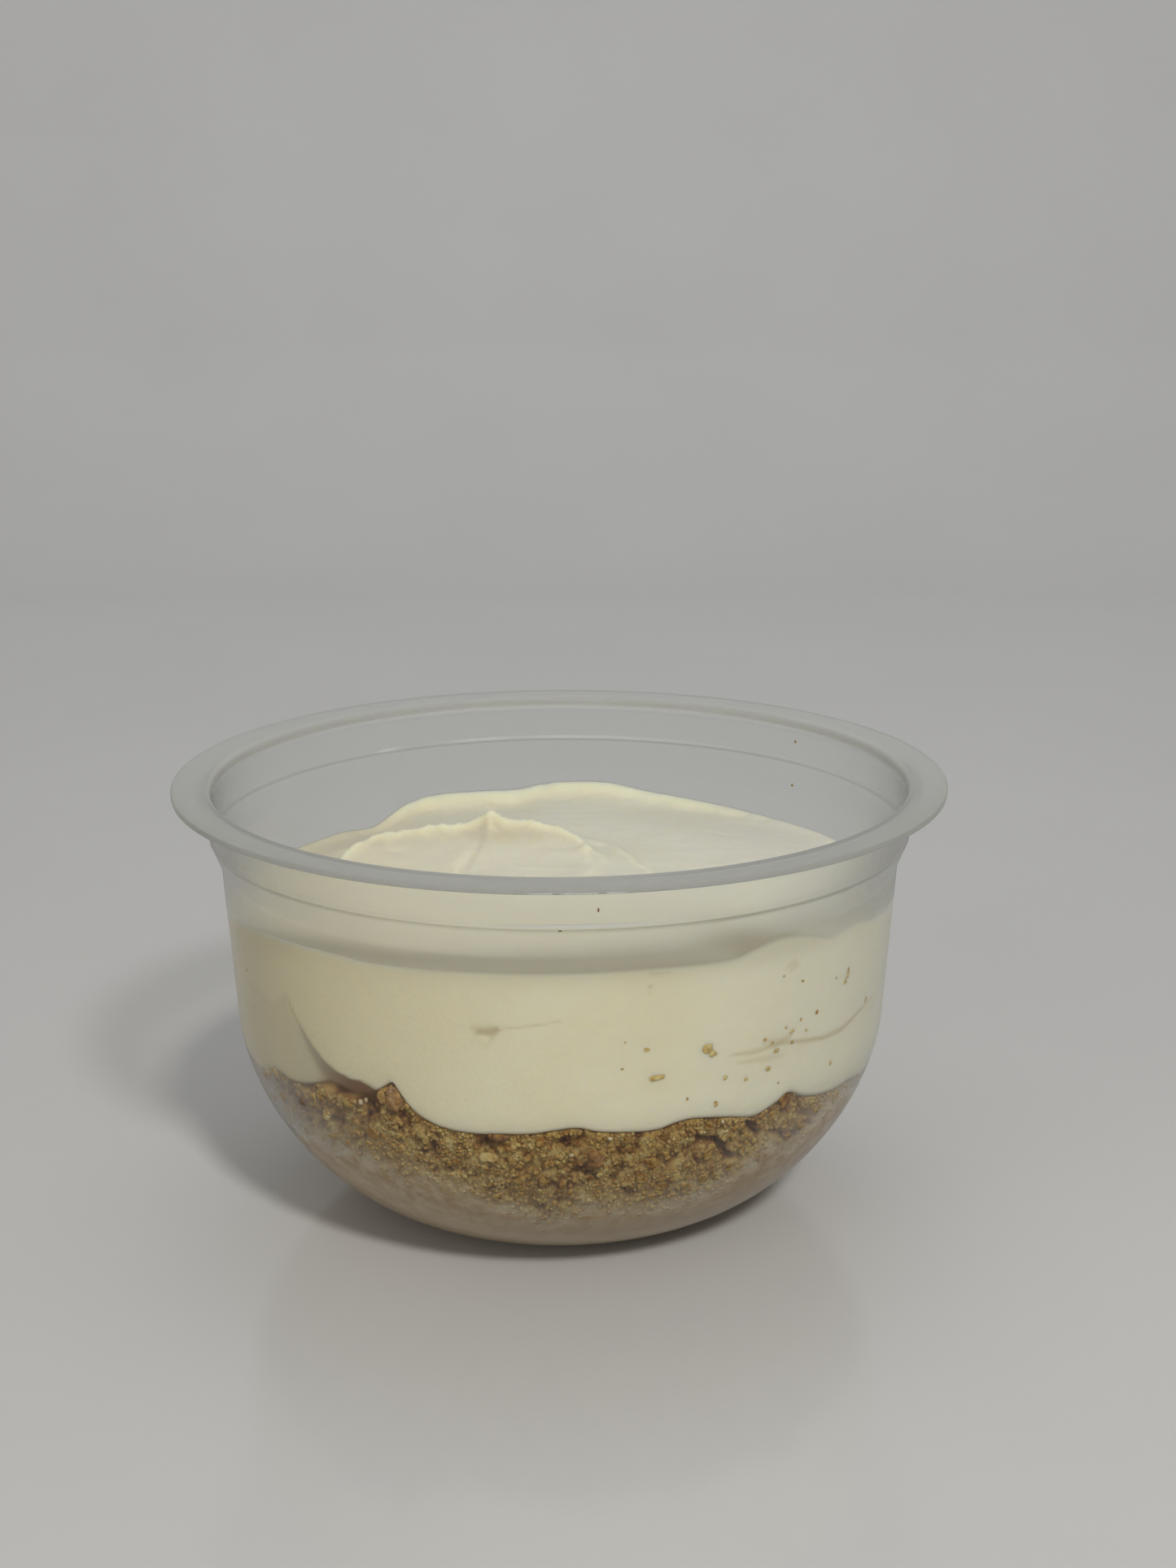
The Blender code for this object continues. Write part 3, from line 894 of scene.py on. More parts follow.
def buildCrumbs(material):
    pieces = []
    points, faces, clearance, haze, hollow = crumbSheet()
    for kind in looseCrumbs["kinds"]:
        sheet = makeObject(kind["name"], points, faces, material)
        storeValues(sheet, "keep", ease(-0.3, 0.3, clearance / kind["large"]) * (1.0 - haze) ** 1.3)
        storeValues(sheet, "haze", haze)
        # the depth value paints shade on the loose crumbs where the bed lies deep
        storeValues(sheet, "depth", hollow)
        strewCrumbs(sheet, kind, kind["count"] / keptArea(sheet), material)
        pressToWall(sheet)
        sheet.data.shade_smooth()
        pieces.append(sheet)
    return pieces


# crumbs in the bed, in the cream and on the wall: those that show are placed one by one

placedCrumbs = {
    # each mark is a crumb's bearing, height on the wall, width, height, tone and haze
    "crumbsInBed": {
        "flat": 0.6, "proud": 0.0,
        "marks": (
            (5.9, 19.8, 2.5, 2.5, 0.32, 0.42), (40.6, 23, 1.6, 1.8, 0.34, 0.2),
            (-27.6, 25.5, 2.0, 3.2, 0.32, 0.4), (-29.9, 25.6, 1.1, 1.9, 0.46, 0.25),
            (-9.8, 22.4, 2.6, 1.0, 0.24, 0.3), (-34.4, 24.2, 0.6, 0.7, 0.86, 0.6),
            (-33.1, 24.7, 0.45, 0.6, 0.86, 0.6), (8.2, 22.3, 0.5, 0.4, 0.86, 0.4),
            (27.6, 22.6, 0.4, 0.4, 0.9, 0.4), (2, 20.3, 0.5, 0.5, 0.8, 0.4),
            (39, 20.9, 0.5, 0.4, 0.8, 0.4), (-57.5, 23.4, 1.3, 1.1, 0.72, 0.3),
            (-61, 22.7, 0.9, 0.8, 0.8, 0.4), (-43.5, 20.8, 1.4, 1.2, 0.8, 0.1),
            (-12, 19.5, 2.2, 1.2, 0.7, 0.1))},
    "crumbsInCream": {
        "flat": 0.3, "proud": 0.03,
        "marks": (
            (13.7, 32.9, 0.8, 0.5, 0.76, 0.0), (15.5, 29.4, 1.9, 0.8, 0.76, 0.0),
            (24.1, 32.1, 1.3, 1.2, 0.76, 0.0), (25, 31.4, 0.8, 0.9, 0.76, 0.0),
            (27.4, 28.1, 0.6, 0.6, 0.76, 0.0), (31.4, 27.3, 0.6, 0.4, 0.76, 0.0),
            (35.9, 27.9, 0.8, 0.6, 0.76, 0.0), (25.9, 25.1, 0.6, 0.7, 0.76, 0.0),
            (34.8, 31.7, 0.5, 0.5, 0.70, 0.0), (40.6, 31.7, 0.7, 0.5, 0.76, 0.0),
            (40.8, 30.3, 0.5, 0.4, 0.70, 0.0), (37.4, 29.9, 0.9, 0.5, 0.76, 0.0),
            (46.4, 33, 0.5, 0.5, 0.50, 0.0), (42.5, 32.8, 0.35, 0.4, 0.70, 0.0),
            (54.8, 36.2, 0.6, 1.7, 0.76, 0.0), (54.2, 35.2, 0.8, 0.6, 0.76, 0.0),
            (51.2, 36.3, 0.35, 0.4, 0.70, 0.0), (63.3, 30.9, 0.8, 0.7, 0.76, 0.0),
            (51.7, 25.5, 0.7, 0.6, 0.76, 0.0), (10.3, 34, 0.25, 0.25, 0.70, 0.0),
            (9.9, 30.8, 0.35, 0.25, 0.70, 0.0), (38.3, 25.7, 0.25, 0.3, 0.50, 0.0),
            (20.8, 26.3, 0.25, 0.4, 0.50, 0.0), (42.2, 37.6, 0.45, 0.35, 0.70, 0.0),
            (36.4, 31, 0.45, 0.35, 0.70, 0.0), (39.2, 32.4, 0.35, 0.35, 0.70, 0.0),
            (37.9, 38.9, 0.4, 0.25, 0.70, 0.0), (44, 31.2, 0.35, 0.35, 0.70, 0.0))},
    "crumbsOnWall": {
        "flat": 0.3, "proud": 0.0,
        "marks": (
            (5.8, 50.1, 0.25, 0.5, 0.50, 0.4), (0.3, 47.8, 0.4, 0.25, 0.45, 0.4),
            (131.9, 50.9, 0.4, 0.4, 0.60, 0.4), (130.8, 45.2, 0.4, 0.4, 0.60, 0.4))},
    "knobs": 0.42, "rough": 0.45, "boxy": 0.72,
    # those in the cream's unseen sides
    "hidden": {
        "count": 36, "seed": 9, "bearings": (78.0, 300.0), "level": (30.0, 3.0), "between": (24.5, 37.0),
        "smallest": 0.3, "larger": 1.1, "flatness": (0.5, 1.1), "tone": (0.55, 0.8), "haze": 0.1},
}


def hiddenMarks():
    h = placedCrumbs["hidden"]
    lowest, highest = h["between"]
    chance = np.random.default_rng(h["seed"])
    marks = []
    for k in range(h["count"]):
        wide = h["smallest"] + h["larger"] * chance.random() ** 3
        z = min(max(chance.normal(*h["level"]), lowest), highest)
        bearing = chance.uniform(*h["bearings"])
        tall = wide * chance.uniform(*h["flatness"])
        marks.append((bearing, z, wide, tall, chance.uniform(*h["tone"]), h["haze"]))
    return tuple(marks)


def buildPlacedCrumbs(name, extraMarks, material):
    p, kind = placedCrumbs, placedCrumbs[name]
    ball = bmesh.new()
    bmesh.ops.create_icosphere(ball, subdivisions=3, radius=0.5)
    form = np.array([v.co[:] for v in ball.verts])
    shapeFaces = [[v.index for v in f.verts] for f in ball.faces]
    ball.free()
    boxy = np.sign(form) * np.abs(2.0 * form) ** p["boxy"] * 0.46
    points, faces, values = [], [], {"tone": [], "haze": []}
    for k, (bearing, z, wide, tall, tone, haze) in enumerate(kind["marks"] + extraMarks):
        uneven = 1.0 + p["rough"] * softNoise(form + 9.0 * k, p["knobs"], 61, 2)[:, None]
        size = np.array([wide, kind["flat"] * min(wide, tall), tall])
        local = boxy * uneven * size
        turn = math.radians(bearing)
        out = np.array([math.sin(turn), -math.cos(turn), 0.0])
        side = np.array([math.cos(turn), math.sin(turn), 0.0])
        centre = wallSpots([(bearing, z)])[0] + out * (kind["proud"] - 0.3 * size[1])
        faces += [[v + len(points) * len(form) for v in f] for f in shapeFaces]
        points.append(centre + local[:, :1] * side - local[:, 1:2] * out + local[:, 2:] * (0.0, 0.0, 1.0))
        values["tone"].append(np.full(len(form), tone))
        values["haze"].append(np.full(len(form), haze))
    crumbs = makeObject(name, np.concatenate(points), faces, material)
    for kept, parts in values.items():
        storeValues(crumbs, kept, np.concatenate(parts))
    return crumbs


# cream

creamShape = {
    "middle": 41.1, "slope": -0.010, "sway": 0.22, "ripple": 0.05, "ragged": 0.22,
    "blendStart": 0.55, "cling": 1.6,       # where the top starts to bend to its edge, and how steeply
    # where the top meets the wall
    "edge": (
        (-177, 42.1), (-171, 41.4), (-160, 41.5), (-152, 41.4), (-148, 40.8), (-144, 39.5),
        (-140, 38.4), (-133, 38.7), (-125, 38.6), (-100, 38.6), (-77, 39.2), (-65, 40.6), (-52, 41.4),
        (-40, 41.8), (-31, 41.7), (-21, 42.0), (-11, 42.3), (14, 42.5), (28, 42.3), (32, 43.0),
        (37, 43.6), (43, 43.1), (49, 41.8), (56, 42.0), (68, 40.7), (90, 40.0), (119, 40.1),
        (137, 40.2), (154, 40.8), (163, 41.4), (171, 42.3)),
    # how far the top climbs the wall there
    "rise": (
        (180, 2.0), (-165, 2.3), (-152, 2.0), (-143, 0.9), (-125, 0.5), (-95, 0.5), (-60, 0.6),
        (-20, 0.6), (20, 0.6), (60, 0.6), (90, 0.6), (119, 0.5), (140, 0.9), (155, 1.4), (167, 1.9)),
    # lower line where the side leaves the wall, how far it then stands off, and how softly
    "contact": (
        (-170, 21.4), (-125, 22.2), (-95, 22.4), (-78, 24.0), (-70, 29.5), (-64, 32.6), (-58, 32.8),
        (-54, 33.0), (-50.8, 34.8), (-49.0, 32.9), (-46.8, 31.1), (-44.8, 29.5), (-42.1, 28.1),
        (-39.1, 27.2), (-36.4, 26.8), (-33.6, 26.8), (-31.2, 26.3), (-28.9, 27.2), (-27.5, 27.7),
        (-26.3, 26.2), (-24.8, 25.0), (-22.5, 23.9), (-19, 23.0), (-14, 22.6), (-9, 22.8), (-4, 23.0),
        (-1, 23.4), (3, 23.7), (6, 23.2), (10, 22.9), (16, 22.8), (19, 23.4), (22, 23.6), (28, 23.0),
        (34, 22.2), (38, 23.0), (41, 23.9), (45, 22.7), (49, 21.9), (55, 21.3), (61, 21.1), (70, 19.9),
        (95, 20.5), (140, 22.0)),
    "standOff": (
        (180, 0.0), (-125, 0.0), (-90, 0.0), (-56, 0.0), (-51, 0.02), (-48, 0.15), (-46, 0.4),
        (-43, 0.9), (-36, 1.6), (-29, 1.4), (-23, 0.5), (-16, 0.05), (0, 0.02), (40, 0.02), (56, 0.05),
        (75, 0.03), (110, 0.0)),
    # how shaded it looks there, where it only just misses the wall
    "shade": (
        (180, 0.1), (-125, 0.1), (-90, 0.15), (-75, 0.18), (-60, 0.25), (-53, 0.34), (-48, 0.5),
        (-43, 0.85), (-36, 1.0), (-25, 1.0), (-19, 0.4), (-10, 0.2), (40, 0.25), (56, 0.4), (80, 0.3),
        (120, 0.1)),
    "softness": (
        (180, 0.5), (-90, 1.2), (-66, 1.4), (-56, 1.0), (-50, 0.7), (-45, 0.4), (0, 0.4), (100, 0.5)),
    "segments": 640, "topRings": 82, "lipRings": 13, "lipWidth": 2.4, "sideRows": 70, "underRings": 6,
    "overlap": 0.9, "underInset": 2.0,      # how far the underside lies in the bed and inside the wall
    "rounding": 0.2, "footTuck": 1.6, "footShade": 0.25, "shadeDent": 0.03,
    "slopeStep": 0.3, "wallRadius": 40.0,   # degrees and radius that give the contact line's slope
    # shade on the top: near the wall, over the front, fading to the right, and on raised slopes
    "wallShade": 0.38, "wallShadeFrom": (11.0, 3.0), "frontShade": 0.32, "frontFrom": (0.1, 0.6),
    "rightFade": 0.55, "rightFrom": (12.0, 30.0), "slopeShade": 0.55, "slopeFrom": (0.4, 1.6),
    # a long shallow fold in the side at the right, shown by painted shade below its line
    "fold": {"height": 30.2, "starts": (24.0, 36.0), "ends": (80.0, 62.0), "shade": 0.15, "reach": 1.6},
    # the spooned ridge: its centre, then direction, distance and height of its crest from there
    "ridge": {
        "centre": (-11.5, 0.5),
        "crest": (
            (11, 14.8, 0.5), (26, 16.9, 1.2), (38, 17.1, 2.0), (51, 16.7, 2.9), (67, 15.3, 3.6),
            (74, 14.7, 3.9), (80, 14.3, 4.7), (86, 14.3, 3.8), (94, 14.4, 3.1), (114, 14.8, 2.5),
            (133, 15.7, 2.3), (150, 16.6, 2.1), (160, 17.0, 1.3), (172, 17.4, 0.3), (230, 15.0, 0.0),
            (300, 13.0, 0.0)),
        "back": 1.3, "front": 6.5, "drop": 0.38, "dropWidth": 0.8,
        "rough": 0.11, "lumpy": 0.16, "wander": 0.7, "gleamWidth": 0.9},
    # small folds of the top: path, height, half width
    "foldWander": 0.25,
    "folds": (
        (((-9.6, 14.5), (-10.6, 9.5), (-11.3, 5.7), (-12.2, 1.5), (-13.4, -4.0)), -0.40, 0.7),
        (((-10.6, 10.0), (-12.6, 6.0), (-13.6, 2.0), (-15.0, -3.0)), 0.25, 1.6),
        (((-12.6, 2.0), (-13.1, -0.2), (-13.6, -3.0)), 0.45, 0.5),
        (((6.2, 13.5), (7.4, 10.0), (8.8, 7.0), (9.5, 3.6), (10.7, 1.6), (11.4, -0.6),
          (13.6, -3.2)), 0.40, 0.6),
        (((4.6, 9.5), (5.4, 5.2), (4.2, 1.4), (2.8, -2.2)), 0.30, 0.7),
        (((1.5, 17.0), (3.8, 14.8), (6.2, 12.5)), 0.22, 0.7),
        (((-7.5, 4.5), (-5.6, 2.0), (-2.0, 1.6)), 0.14, 0.5),
        (((-27.5, 17.5), (-28.8, 14.0), (-29.8, 10.5)), -0.55, 1.6),
        (((-24.0, -11.0), (-13.0, -20.0), (1.0, -23.5), (13.0, -21.0)), 0.45, 2.0),
        (((19.0, 6.0), (25.5, -2.0), (24.0, -11.0), (17.0, -18.0)), 0.40, 1.8),
        (((-7.0, -10.0), (3.0, -13.0), (13.0, -11.0)), -0.40, 1.5)),
    # painted shade marks where the side only just misses the wall, lighter where the strength is below 0:
    # path of (bearing, height), strength, half width
    "marks": (
        (((27.6, 30.7), (32.6, 30.5), (38.2, 30.7), (42.6, 30.1), (48.9, 29.3), (54.7, 29.2),
          (60.3, 30.1), (68.7, 30.5)), 0.75, 0.28),
        (((28.7, 29.7), (35.4, 29.2), (39.5, 29.0)), 0.35, 0.25),
        (((-66.1, 33.0), (-60.1, 32.8), (-54.6, 32.3), (-51.2, 33.9), (-50.1, 34.5)), 0.22, 0.7),
        (((-13.9, 35.7), (-12.4, 35.45), (-11.0, 35.4), (-9.0, 35.75)), 0.4, 0.6),
        (((-13.0, 35.3), (-11.4, 35.2), (-10.2, 35.35), (-9.0, 35.75)), 0.75, 0.55),
        (((-10.5, 35.6), (-7.0, 35.95), (-3.5, 36.3), (0.6, 36.85)), 0.5, 0.16),
        (((-13.2, 34.9), (-12.0, 34.2), (-11.2, 33.2)), 0.22, 0.3),
        (((-9.9, 35.2), (-10.5, 34.3), (-11.1, 33.3)), 0.22, 0.3),
        (((-12.4, 34.7), (-11.6, 34.5), (-10.8, 34.6)), -0.5, 0.35),
        (((13.7, 40.8), (14.4, 40.1), (14.1, 39.3)), 0.7, 0.13),
        (((13.9, 42.3), (14.2, 41.9), (17.5, 41.8)), 0.4, 0.25),
        (((-50.2, 34.8), (-48.9, 32.9), (-46.8, 31.1), (-44.8, 29.4), (-42.1, 28.0), (-39.1, 27.1),
          (-36.4, 26.7), (-33.6, 26.7), (-31.2, 26.2)), 0.9, 0.25),
        (((38.2, 39.6), (39.8, 40.3), (40.6, 39.8), (39.0, 39.2)), 0.35, 0.4),
        (((34.6, 31.4), (37.6, 30.9), (40.8, 31.3)), 0.5, 0.5),
        (((-44.0, 31.2), (-43.6, 30.4)), 0.3, 0.15),
        (((112.0, 30.9), (117.0, 31.5), (123.0, 31.0), (131.0, 31.6)), 0.6, 0.28),
        (((196.0, 34.2), (203.0, 33.7), (211.0, 34.0)), 0.6, 0.25),
        (((247.0, 29.6), (253.0, 29.2), (262.0, 29.9)), 0.6, 0.3)),
}


def creamEdge(bearing):
    return aroundPot(creamShape["edge"], bearing)


def ridgeRise(x, y):
    # (height of the spooned ridge, painted light along its crest)
    r = creamShape["ridge"]
    dx, dy = x - r["centre"][0], y - r["centre"][1]
    turn = np.degrees(np.arctan2(dy, dx))
    flat = flatPoints(x, y)
    crest = aroundPot([(t, d) for t, d, h in r["crest"]], turn)
    height = np.maximum(aroundPot([(t, h) for t, d, h in r["crest"]], turn), 0.0)
    uneven = 1.0 + r["rough"] * softNoise(flat, 1.5, 4, 2) + r["lumpy"] * softNoise(flat, 3.4, 14)
    height = height * uneven
    out = np.hypot(dx, dy) - crest + r["wander"] * softNoise(flat, 2.4, 9, 2)
    behind = np.exp(-(np.maximum(out, 0.0) / r["back"]) ** 1.7)
    drop = r["drop"] * np.exp(-(np.maximum(-out, 0.0) / r["dropWidth"]) ** 2)
    slope = (1.0 - r["drop"]) * np.exp(-(np.maximum(-out, 0.0) / r["front"]) ** 1.3)
    gleam = bell(out, r["gleamWidth"]) * ease(0.3, 1.5, height)
    return height * np.where(out > 0.0, behind, drop + slope), gleam


def creamTop(x, y):
    # (height, how far a place is a crest that catches the light)
    c = creamShape
    radius, bearing = polar(x, y)
    edge, rise = creamEdge(bearing), aroundPot(c["rise"], bearing)
    reach = insideRadius(edge)
    inset = np.maximum(reach - radius, 0.0)
    flat = flatPoints(x, y)
    level = c["middle"] + c["slope"] * y + c["sway"] * softNoise(flat, 9.0, 2, 2)
    level = level + c["ripple"] * softNoise(flat, 2.4, 6)
    level = level + (edge - rise - level) * ease(c["blendStart"], 1.0, radius / reach)
    ridge, crest = ridgeRise(x, y)
    ridge = ridge * ease(1.0, 5.0, inset)
    wobble = 1.0 + 0.6 * softNoise(flat, 2.6, 27, 2)
    lip = np.exp(-(inset / (c["cling"] * wobble)) ** 1.6)
    crest = np.maximum(crest, lip * ease(0.7, 1.3, rise))
    crest = np.maximum(crest, 0.6 * ease(0.1, 0.6, softNoise(flat, 2.2, 71, 2)) * ease(0.5, 2.0, ridge))
    level = level + ridge + c["ragged"] * (0.2 + crest) * softNoise(flat, 1.7, 33, 2)
    wandering = flat[..., :2] + c["foldWander"] * softNoise(flat, 1.7, 19)[..., None]
    for path, height, width in c["folds"]:
        away, along = pathDistance(wandering, path)
        fold = height * bell(away, width) * ease(0.0, 0.2, along) * ease(1.0, 0.8, along)
        level, crest = level + fold, crest + np.maximum(fold, 0.0) * 1.2
    return level + (edge - level) * lip, np.minimum(crest, 1.0)


def creamSide(bearing, z):
    # how far the side stands off the wall, and how shaded it looks through the wall
    c = creamShape
    contact = aroundPot(c["contact"], bearing)
    turned = c["slopeStep"]
    run = math.radians(turned) * c["wallRadius"]
    slope = (aroundPot(c["contact"], bearing + turned) - contact) / run
    below = np.maximum(contact - z, 0.0) / np.sqrt(1.0 + slope ** 2)
    softly = 1.0 - np.exp(-below / aroundPot(c["softness"], bearing))
    gap = aroundPot(c["standOff"], bearing) * softly
    shade = aroundPot(c["shade"], bearing) * softly
    points = spot(insideRadius(z), bearing, z)
    for path, strength, width in c["marks"]:
        away, along = pathDistance(points, wallSpots(path))
        slim = np.sqrt(4.0 * along * (1.0 - along))
        shade = shade + strength * ease(0.0, 0.5, slim) * bell(away, width * (0.3 + 0.7 * slim))
    fold = c["fold"]
    underFold = fold["height"] - z
    within = ease(*fold["starts"], bearing) * ease(*fold["ends"], bearing)
    fading = np.exp(-np.maximum(underFold, 0.0) / fold["reach"])
    shade = shade + fold["shade"] * within * ease(0.0, 0.6, underFold) * fading
    overBed = z - bedEdge(bearing)
    shade = shade + c["footShade"] * np.exp(-np.maximum(overBed, 0.0) / 0.5)
    tuck = c["footTuck"] * ease(0.3, -0.6, overBed)
    rounding = c["rounding"] * np.exp(-np.maximum(creamEdge(bearing) - z, 0.0) / 0.45)
    return gap + rounding + tuck + c["shadeDent"] * np.minimum(shade, 1.0), shade


def topShade(x, y, level, crest, reach):
    # painted shade on the top where the rim and the wall keep light from it, and on raised slopes
    c = creamShape
    inset = reach * (1.0 - np.hypot(x, y) / reach)
    front = ease(*c["frontFrom"], -y / reach)
    front = front * (1.0 - c["rightFade"] * ease(*c["rightFrom"], x))
    nearWall = c["wallShade"] * ease(*c["wallShadeFrom"], inset)
    raised = ease(*c["slopeFrom"], level - c["middle"]) * (1.0 - crest)
    return front * (nearWall + c["frontShade"]) + c["slopeShade"] * raised


def buildCream(material):
    c = creamShape
    bearings = evenBearings(c["segments"])
    turned = (bearings + 180.0) % 360.0 - 180.0
    edge = creamEdge(bearings)
    rim = insideRadius(edge) - creamSide(turned, edge)[0]
    rings, values = [], {"gap": [], "shade": [], "wetRim": [], "crest": []}

    def addRing(ring, gap=0.0, shade=0.0, wetRim=0.0, crest=0.0):
        rings.append(ring)
        for name, value in (("gap", gap), ("shade", shade), ("wetRim", wetRim), ("crest", crest)):
            values[name].append(np.broadcast_to(value, len(ring)))

    inner = 1.0 - c["lipWidth"] / rim
    outwards = [share * inner for share in shares(c["topRings"])]
    outwards += [inner + (1.0 - inner) * share for share in shares(c["lipRings"])]
    for share in outwards:
        flat = spot(share * rim, bearings, 0.0)
        flat = flat[::ringStep(flat)]
        x, y = flat[:, 0], flat[:, 1]
        level, crest = creamTop(x, y)
        addRing(
            np.column_stack([x, y, level]), shade=topShade(x, y, level, crest, rim[0]),
            wetRim=float(np.min(share) > 0.999), crest=crest)
    foot = bedEdge(bearings) - c["overlap"]
    for share in shares(c["sideRows"]):
        z = edge + (foot - edge) * share
        gap, shade = creamSide(turned, z)
        addRing(spot(insideRadius(z) - gap, bearings, z), gap, shade, wetRim=bell(edge - z, 0.6))
    for share in np.linspace(1.0, 0.0, c["underRings"] + 1)[1:-1]:
        flat = spot(share * (insideRadius(foot) - c["underInset"]), bearings, 0.0)
        flat = flat[::ringStep(flat)]
        addRing(np.column_stack([flat[:, :2], bedTop(flat[:, 0], flat[:, 1]) - c["overlap"]]))
    top = (0.0, 0.0, float(creamTop(np.array(0.0), np.array(0.0))[0]))
    under = (0.0, 0.0, float(bedTop(0.0, 0.0)) - c["overlap"])
    fill = ringObject("creamFill", rings, top, under, material)
    storeRings(fill, values, {})
    return fill


creamLook = {
    "ivory": colour(241, 238, 219), "butter": colour(239, 234, 211), "shaded": colour(210, 200, 170),
    # painted shade on the cream's left side and painted light on its right side, across x
    "mellow": colour(235, 227, 198), "mellowFrom": (5.0, -38.0),
    "fresh": colour(244, 241, 224), "freshFrom": (8.0, 38.0),
    "deepGapShade": colour(170, 132, 102), "deepGapShadeFrom": (0.5, 1.6), "crest": colour(255, 249, 216),
    # a painted grey sheen along the top edge, where the cream meets the wall
    "wetRim": colour(224, 223, 212), "paintedSheenShare": 0.5,
    "depth": 1.0, "reach": (1.0, 0.9, 0.65), "roughness": 0.42, "curd": 0.12, "shine": 0.4,
    "curdRelief": 0.05, "relief": 0.12,
}


def creamMaterial():
    look = creamLook
    material, wire, place = newMaterial("cheesecakeCream")
    x = place.parts()[0]
    drift = noiseAt(place, 12.0, 3.0, 0.55)
    curd = noiseAt(place, 0.5, 3.0, 0.6)
    shade = drift.between(0.35, 0.7).blend(look["ivory"], look["butter"])
    # painted shade darkens the left side and painted light lifts the right side
    for name in ("mellow", "fresh"):
        start, end = look[name + "From"]
        shade = x.between(start * mm, end * mm).blend(shade, look[name])
    # painted light on the crests, the far lip and the raised folds
    shade = wire.stored("crest").blend(shade, look["crest"])
    shade = wire.stored("shade").blend(shade, look["shaded"])
    # painted shade where the side stands far off the wall
    shade = wire.stored("gap").between(*look["deepGapShadeFrom"]).blend(shade, look["deepGapShade"])
    # painted sheen along the top edge where the cream meets the wall
    shade = (wire.stored("wetRim") * look["paintedSheenShare"]).blend(shade, look["wetRim"])
    fine = bumpFrom(curd, look["curdRelief"])
    wire.show(wire.principled({
        "Base Color": shade, "Roughness": look["roughness"] + curd * look["curd"],
        "Subsurface Weight": 1.0, "Subsurface Radius": look["reach"],
        "Subsurface Scale": look["depth"] * mm, "Specular IOR Level": look["shine"],
        "Normal": bumpFrom(noiseAt(place, 2.2, 3.0), look["relief"], fine)}))
    return material


# pieces

plastic = plasticMaterial()
cream = creamMaterial()
crumb = crumbMaterial("biscuitCrumb", loose=False)
looseCrumb = crumbMaterial("looseCrumb", loose=True)

carry(buildPot(plastic), "clear_plastic", "pot")
carry(buildBed(crumb), "biscuit_crumb", "biscuit_base")
for piece in buildCrumbs(looseCrumb):
    carry(piece, "biscuit_crumb", "biscuit_base")
carry(buildCream(cream), "cheesecake_cream", "cream")
for name, extraMarks in (("crumbsInBed", ()), ("crumbsInCream", hiddenMarks()), ("crumbsOnWall", ())):
    carry(buildPlacedCrumbs(name, extraMarks, looseCrumb), "biscuit_crumb")


# stage, light and camera

stageShape = {
    "front": -900.0, "side": 1500.0, "wallStart": 420.0, "wallRadius": 260.0, "wallHeight": 1500.0,
    "bendSteps": 24, "pale": colour(213, 212, 210), "paler": colour(219, 218, 216),
    "roughness": 0.12, "unevenRoughness": 0.04, "shine": 0.5, "cloud": 60.0,
    "room": (0.985, 0.975, 0.965, 1.0), "roomStrength": 0.28,
    # name, bearing and elevation it comes from, distance, size, watts, colour
    "lights": (
        ("keyLight", 19.0, 43.0, 900.0, 105.0, 3.5, (1.0, 0.985, 0.955)),
        ("fillLight", -50.0, 13.0, 1100.0, 600.0, 1.39, (1.0, 0.975, 0.90))),
    "lightsAim": (0.0, 0.0, 20.0),
    "wallLight": ((0.0, 300.0, 820.0), (0.0, 640.0, 230.0), 500.0, 0.84, (0.93, 1.0, 1.10)),
}


def floorMaterial():
    s = stageShape
    material, wire, place = newMaterial("paleTable")
    cloud = noiseAt(place, s["cloud"])
    wire.show(wire.principled({
        "Base Color": cloud.blend(s["pale"], s["paler"]), "Specular IOR Level": s["shine"],
        "Roughness": s["roughness"] + cloud * s["unevenRoughness"]}))
    return material


def buildStage(material):
    s = stageShape
    line = [(s["front"], 0.0), (s["wallStart"], 0.0)]
    for turn in np.linspace(0.0, 0.5 * np.pi, s["bendSteps"] + 1)[1:]:
        line.append((
            s["wallStart"] + s["wallRadius"] * math.sin(turn),
            s["wallRadius"] * (1.0 - math.cos(turn))))
    line.append((line[-1][0], s["wallHeight"]))
    points, faces = [], []
    for y, z in line:
        points += [(-s["side"], y, z), (s["side"], y, z)]
    for k in range(len(line) - 1):
        faces.append((2 * k, 2 * k + 1, 2 * k + 3, 2 * k + 2))
    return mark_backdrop(makeObject("floor", points, faces, material))


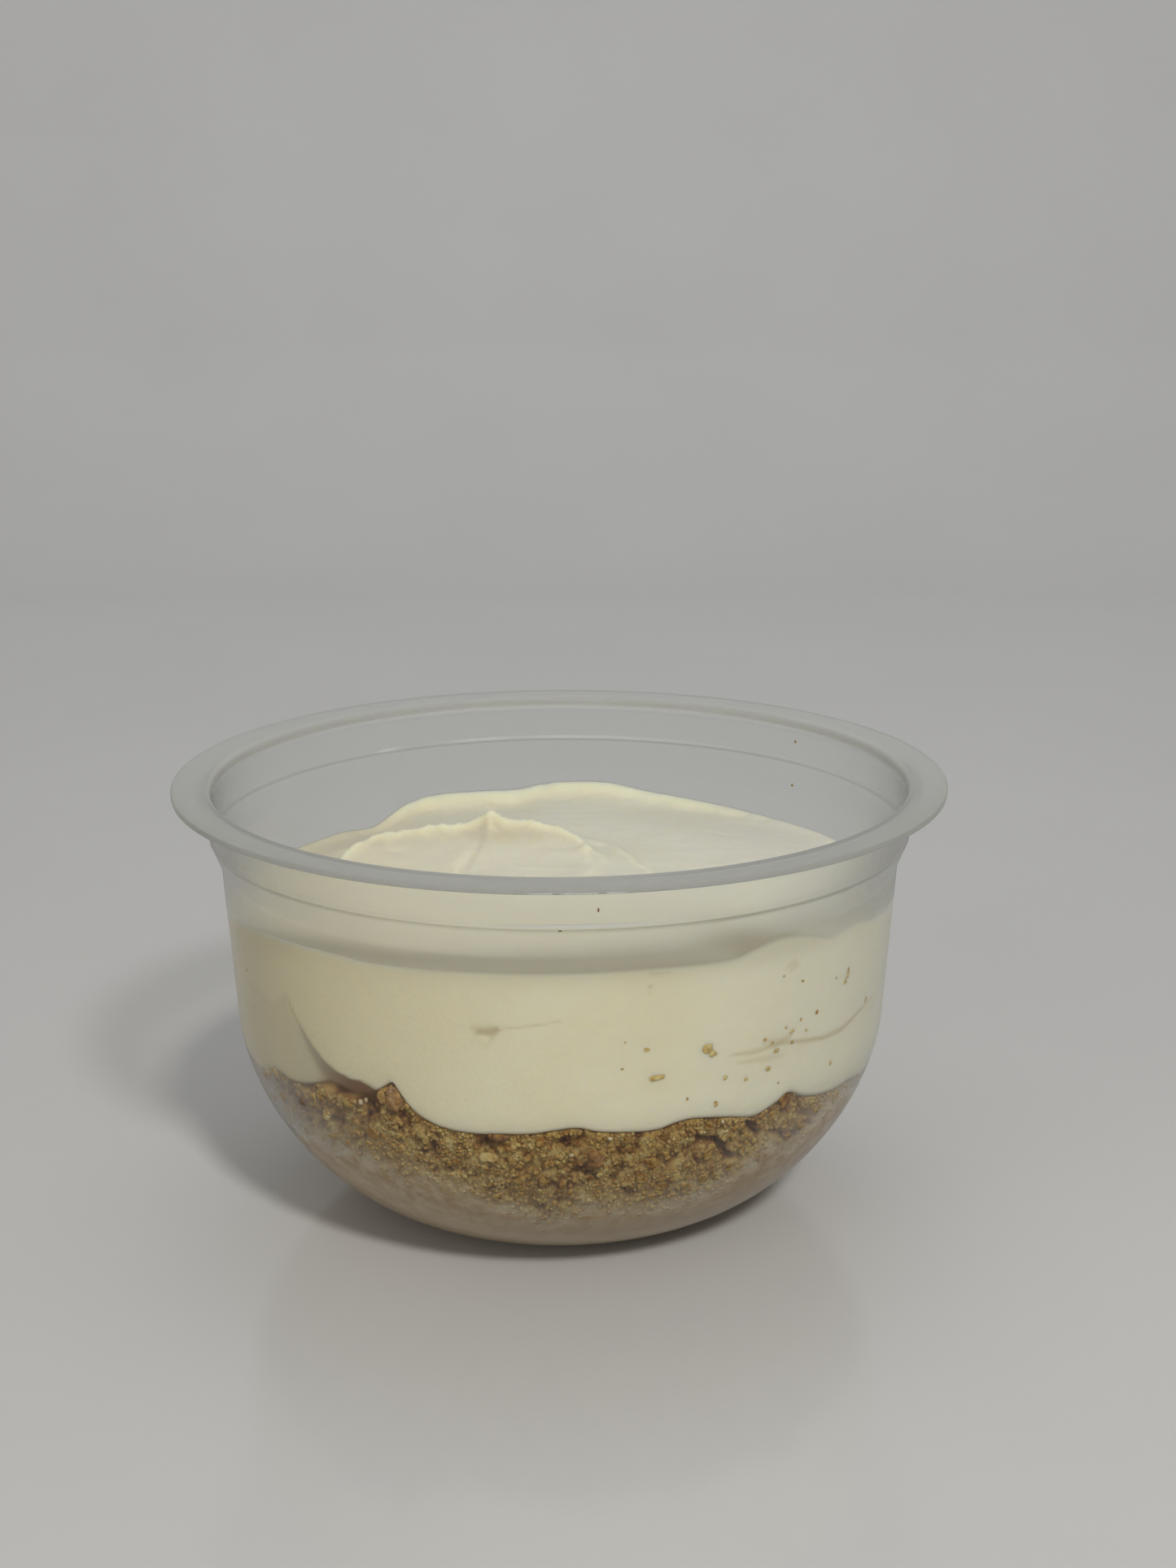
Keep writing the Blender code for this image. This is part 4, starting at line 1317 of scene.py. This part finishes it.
def addLight(name, position, target, size, power, tint):
    data = bpy.data.lights.new(name, "AREA")
    data.shape = "DISK"
    data.size = size * mm
    data.energy = power
    data.color = tint
    obj = bpy.data.objects.new(name, data)
    bpy.context.scene.collection.objects.link(obj)
    obj.location = Vector(position) * mm
    obj.rotation_euler = (Vector(target) - Vector(position)).to_track_quat("-Z", "Y").to_euler()
    obj.visible_glossy = False
    obj.visible_transmission = False


def addWorld(tint, strength):
    world = bpy.data.worlds.new("softRoom")
    world.use_nodes = True
    back = world.node_tree.nodes["Background"]
    back.inputs["Color"].default_value = tint
    back.inputs["Strength"].default_value = strength
    bpy.context.scene.world = world


viewFrame = {
    "height": 1927.0, "focal": 2900.0, "sensor": 36.0,
    "place": (1.947, -282.454, 127.699), "pitch": 0.2597, "yaw": 0.0055, "roll": -0.0026,
}


def addCamera():
    v = viewFrame
    level = math.cos(v["pitch"])
    ahead = Vector((math.sin(v["yaw"]) * level, math.cos(v["yaw"]) * level, -math.sin(v["pitch"])))
    right = ahead.cross(Vector((0.0, 0.0, 1.0))).normalized()
    up = right.cross(ahead)
    turned = right * math.cos(v["roll"]) + up * math.sin(v["roll"])
    upright = up * math.cos(v["roll"]) - right * math.sin(v["roll"])
    data = bpy.data.cameras.new("camera")
    data.lens = v["focal"] / v["height"] * v["sensor"]
    data.sensor_width = v["sensor"]
    data.clip_start = 0.01
    obj = bpy.data.objects.new("camera", data)
    bpy.context.scene.collection.objects.link(obj)
    axes = Matrix((turned, upright, -ahead)).transposed().to_4x4()
    obj.matrix_world = Matrix.Translation(Vector(v["place"]) * mm) @ axes
    bpy.context.scene.camera = obj


buildStage(floorMaterial())
addWorld(stageShape["room"], stageShape["roomStrength"])
for name, bearing, elevation, distance, size, power, tint in stageShape["lights"]:
    rise = math.radians(elevation)
    place = spot(distance * math.cos(rise), bearing, distance * math.sin(rise))
    addLight(name, place, stageShape["lightsAim"], size, power, tint)
addLight("wallLight", *stageShape["wallLight"])
addCamera()
bpy.context.scene.view_settings.view_transform = "Standard"
print("stage ready")
